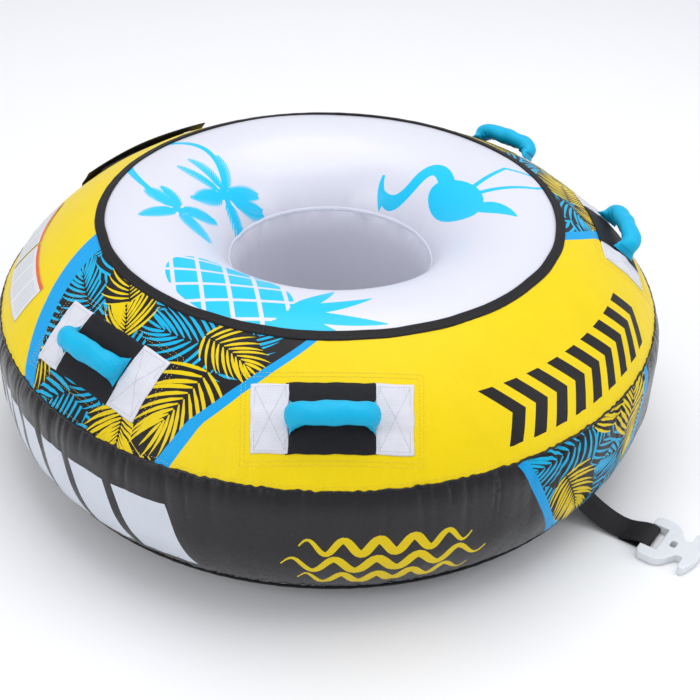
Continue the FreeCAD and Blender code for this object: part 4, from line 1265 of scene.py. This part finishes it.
# ---------------------------------------------------------------- moulded pieces with softened edges
def softened(node, name, mat, body, voxel, rounds):
    """A moulded copy of a CAD piece, with its edges eased."""
    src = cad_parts[node]
    obj = bpy.data.objects.new(name, src.data.copy())
    bpy.context.scene.collection.objects.link(obj)
    mod = obj.modifiers.new("remesh", "REMESH")
    mod.mode, mod.voxel_size, mod.use_smooth_shade = "VOXEL", voxel * MM, True
    mod = obj.modifiers.new("smooth", "SMOOTH")
    mod.factor, mod.iterations = 0.5, rounds
    mesh = bpy.data.meshes.new_from_object(obj.evaluated_get(bpy.context.evaluated_depsgraph_get()))
    bpy.data.objects.remove(obj)
    mesh.name = name
    mesh.materials.clear()
    mesh.materials.append(mat)
    mesh.polygons.foreach_set("material_index", np.zeros(len(mesh.polygons), dtype=np.int32))
    obj = bpy.data.objects.new(name, mesh)
    bpy.context.scene.collection.objects.link(obj)
    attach(obj, body)
    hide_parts(node)
    return obj


softened("tow_connector", "connector", NATURAL, "connector", 0.8, 7)
softened("valve_cap", "valve_cap_soft", VALVE, "cap", 0.5, 3)
softened("valve_base", "valve_base_soft", VALVE, "tube", 0.6, 3)

# ---------------------------------------------------------------- tow strap
TOW_AZ = 55.5


def strap_path():
    """The strap's line as (radius, height): down from the tube, round the bar and back under itself."""
    knots = [(504.5, 34.9), (513, 29.0), (524, 22.6), (536, 16.8), (548, 12.0), (562, 7.2), (577, 4.2),
             (590, 4.6), (602, 8.2), (613, 12.4), (623, 14.7), (632, 15.0)]
    loop = [(632 + 6.75 * math.sin(a), 8.2 + 6.75 * math.cos(a)) for a in np.radians(np.arange(12, 181, 12))]
    tail = [(625, 1.5), (612, 1.42), (600, 1.42), (588, 1.45)]
    pts = np.array(knots + loop + tail)
    e = np.linspace(0, along(pts)[-1], 130)
    p = resampled(pts, e)
    for _ in range(6):
        p[1:-1] = 0.5 * p[1:-1] + 0.25 * (p[:-2] + p[2:])
    return p, e


def strap_profile(half=25.4, thick=1.12, edge_thick=0.95):
    """The webbing's cross section, as a loop of (across, lift)."""
    top = [(-half, 0.0), (-half + 0.5, edge_thick)]
    top += [(x, thick) for x in np.linspace(-half + 1.6, half - 1.6, 15)] + [(half - 0.5, edge_thick)]
    return np.array(top + [(-x, -z) for x, z in top])


def strap():
    """The tow strap's webbing and its sewn box and cross."""
    p, e = strap_path()
    out, prof = normals_along(p), strap_profile()
    verts, uv = [], []
    for i in range(len(p)):
        free = math.exp(-((e[i] - 45) / 28) ** 2)
        sag = free * (0.9 * np.sin(prof[:, 0] / 8.5 + 0.6) + 0.5 * np.sin(prof[:, 0] / 4.0))
        r = p[i, 0] + out[i, 0] * (prof[:, 1] + sag)
        z = p[i, 1] + out[i, 1] * (prof[:, 1] + sag)
        verts.append(np.column_stack([prof[:, 0], -r, np.maximum(z, 0.22)]))
        uv.append(np.column_stack([prof[:, 0], np.full(len(prof), e[i])]))
    n, m = len(p), len(prof)
    faces = grid_faces(n, m, False, True)
    faces += [tuple(range(m)), tuple((n - 1) * m + j for j in range(m))[::-1]]
    obj = make("strap_webbing", spin(np.vstack(verts), TOW_AZ), faces, WEBBING, None, "black_webbing",
               ("tow_strap",), None, np.vstack(uv) * MM)
    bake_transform(obj)
    runs = []
    box = ((-21, 580), (21, 580), (-21, 600), (21, 600))
    for j, k in ((0, 1), (2, 3), (0, 2), (1, 3), (0, 3), (2, 1)):
        x, r = spaced(box[j], box[k], max(8, int(math.dist(box[j], box[k]) / 3.0)))
        z = np.interp(r, p[:80, 0], p[:80, 1]) + 1.2
        runs.append((spin(np.column_stack([x, -r, z]), TOW_AZ), np.tile((0.0, 0.0, 1.0), (len(x), 1))))
    stitches("strap_stitches", runs, (2.4, 0.8, 0.6), THREAD_BLACK, "strap", "black_webbing")


def anchor():
    """The webbing sewn under the tube, which the strap comes from."""
    s0, s1 = [float(SL + math.radians(phi - LOWER_SEAM_PHI) * HEEL_BEND) for phi in (141, 165)]
    az, s = np.meshgrid(np.linspace(-2.9, 2.9, 22), np.linspace(s0, s1, 30), indexing="ij")
    r = section(s.ravel())[0].reshape(s.shape)
    az = az * 501.4 / r
    rim = np.minimum((1 - np.abs(az * r / 501.4) / 2.9) * 25, np.minimum(s - s0, s1 - s)).clip(0, 1.5)
    ring_patch("anchor_webbing", az + TOW_AZ, s, 1.6 + np.sqrt(rim / 1.5), 0 * s + 0.4, WEBBING,
               "black_webbing", "tow_anchor")


strap()
anchor()


# ---------------------------------------------------------------- CAD pieces that stay, with their finish
def dress(node, mat):
    """A CAD piece that is seen as it is, in a material."""
    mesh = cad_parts[node].data
    for i in range(len(mesh.materials)):
        mesh.materials[i] = mat
    if not mesh.materials:
        mesh.materials.append(mat)


STAY = {"valve_insert": VALVE, "valve_flap": RUBBER, "valve_tether": VALVE, "zipper_tape": WEBBING,
        "zipper_coil": COIL, "zipper_slider": ZINC, "zipper_pull": ZINC}
STAY.update({grip + part: WEBBING for grip in GRIPS for part in ("_webbing_tabs", "_grip_webbing")})
for stay, finish in STAY.items():
    dress(stay, finish)

# ---------------------------------------------------------------- closing
def point_camera():
    """The photograph's view."""
    yaw, pitch, roll = map(math.radians, (1.185, 34.72, 1.734))
    fwd = Vector((math.sin(yaw) * math.cos(pitch), math.cos(yaw) * math.cos(pitch), -math.sin(pitch)))
    right = fwd.cross(Vector((0, 0, 1))).normalized()
    up = right.cross(fwd)
    right, up = (right * math.cos(roll) + up * math.sin(roll), -right * math.sin(roll) + up * math.cos(roll))
    cam = bpy.data.objects.new("camera", bpy.data.cameras.new("camera"))
    bpy.context.scene.collection.objects.link(cam)
    cam.data.lens = 1250 * 36 / 700
    cam.data.sensor_width = 36
    m = Matrix((right, up, -fwd)).transposed().to_4x4()
    m.translation = Vector((0, -1.831, 1.384))
    cam.matrix_world = m
    bpy.context.scene.camera = cam


def light(name, where, size, power, aim=(0, 0, 0.2), colour=(1, 1, 1)):
    lamp = bpy.data.lights.new(name, "AREA")
    lamp.shape, lamp.size, lamp.size_y = "RECTANGLE", size[0], size[1]
    lamp.energy, lamp.color = power, colour
    obj = bpy.data.objects.new(name, lamp)
    bpy.context.scene.collection.objects.link(obj)
    obj.location = where
    obj.rotation_mode = "QUATERNION"
    obj.rotation_quaternion = (Vector(aim) - Vector(where)).to_track_quat("-Z", "Y")


def studio():
    """A pale floor under a bright even sky, with three soft lamps."""
    world = bpy.data.worlds.new("studio")
    bpy.context.scene.world = world
    world.use_nodes = True
    bg = world.node_tree.nodes["Background"]
    bg.inputs[0].default_value = (0.93, 0.95, 1.0, 1)
    bg.inputs[1].default_value = 0.74
    floor = material("floor_pale", (0.86, 0.86, 0.87), rough=0.8, mottle=0.01, mottle_scale=2)
    obj = make("floor", [(-30, -30, -0.0005), (30, -30, -0.0005), (30, 30, -0.0005), (-30, 30, -0.0005)],
               [(0, 1, 2, 3)], floor, None, None)
    light("overhead", (0.3, 0.2, 3.2), (3.2, 2.6), 60)
    light("front_left", (-2.6, -2.4, 2.2), (1.8, 1.8), 34)
    light("right", (3.0, -0.6, 1.8), (1.4, 2.2), 18)
    bpy.context.scene.view_settings.view_transform = "Standard"


point_camera()
studio()
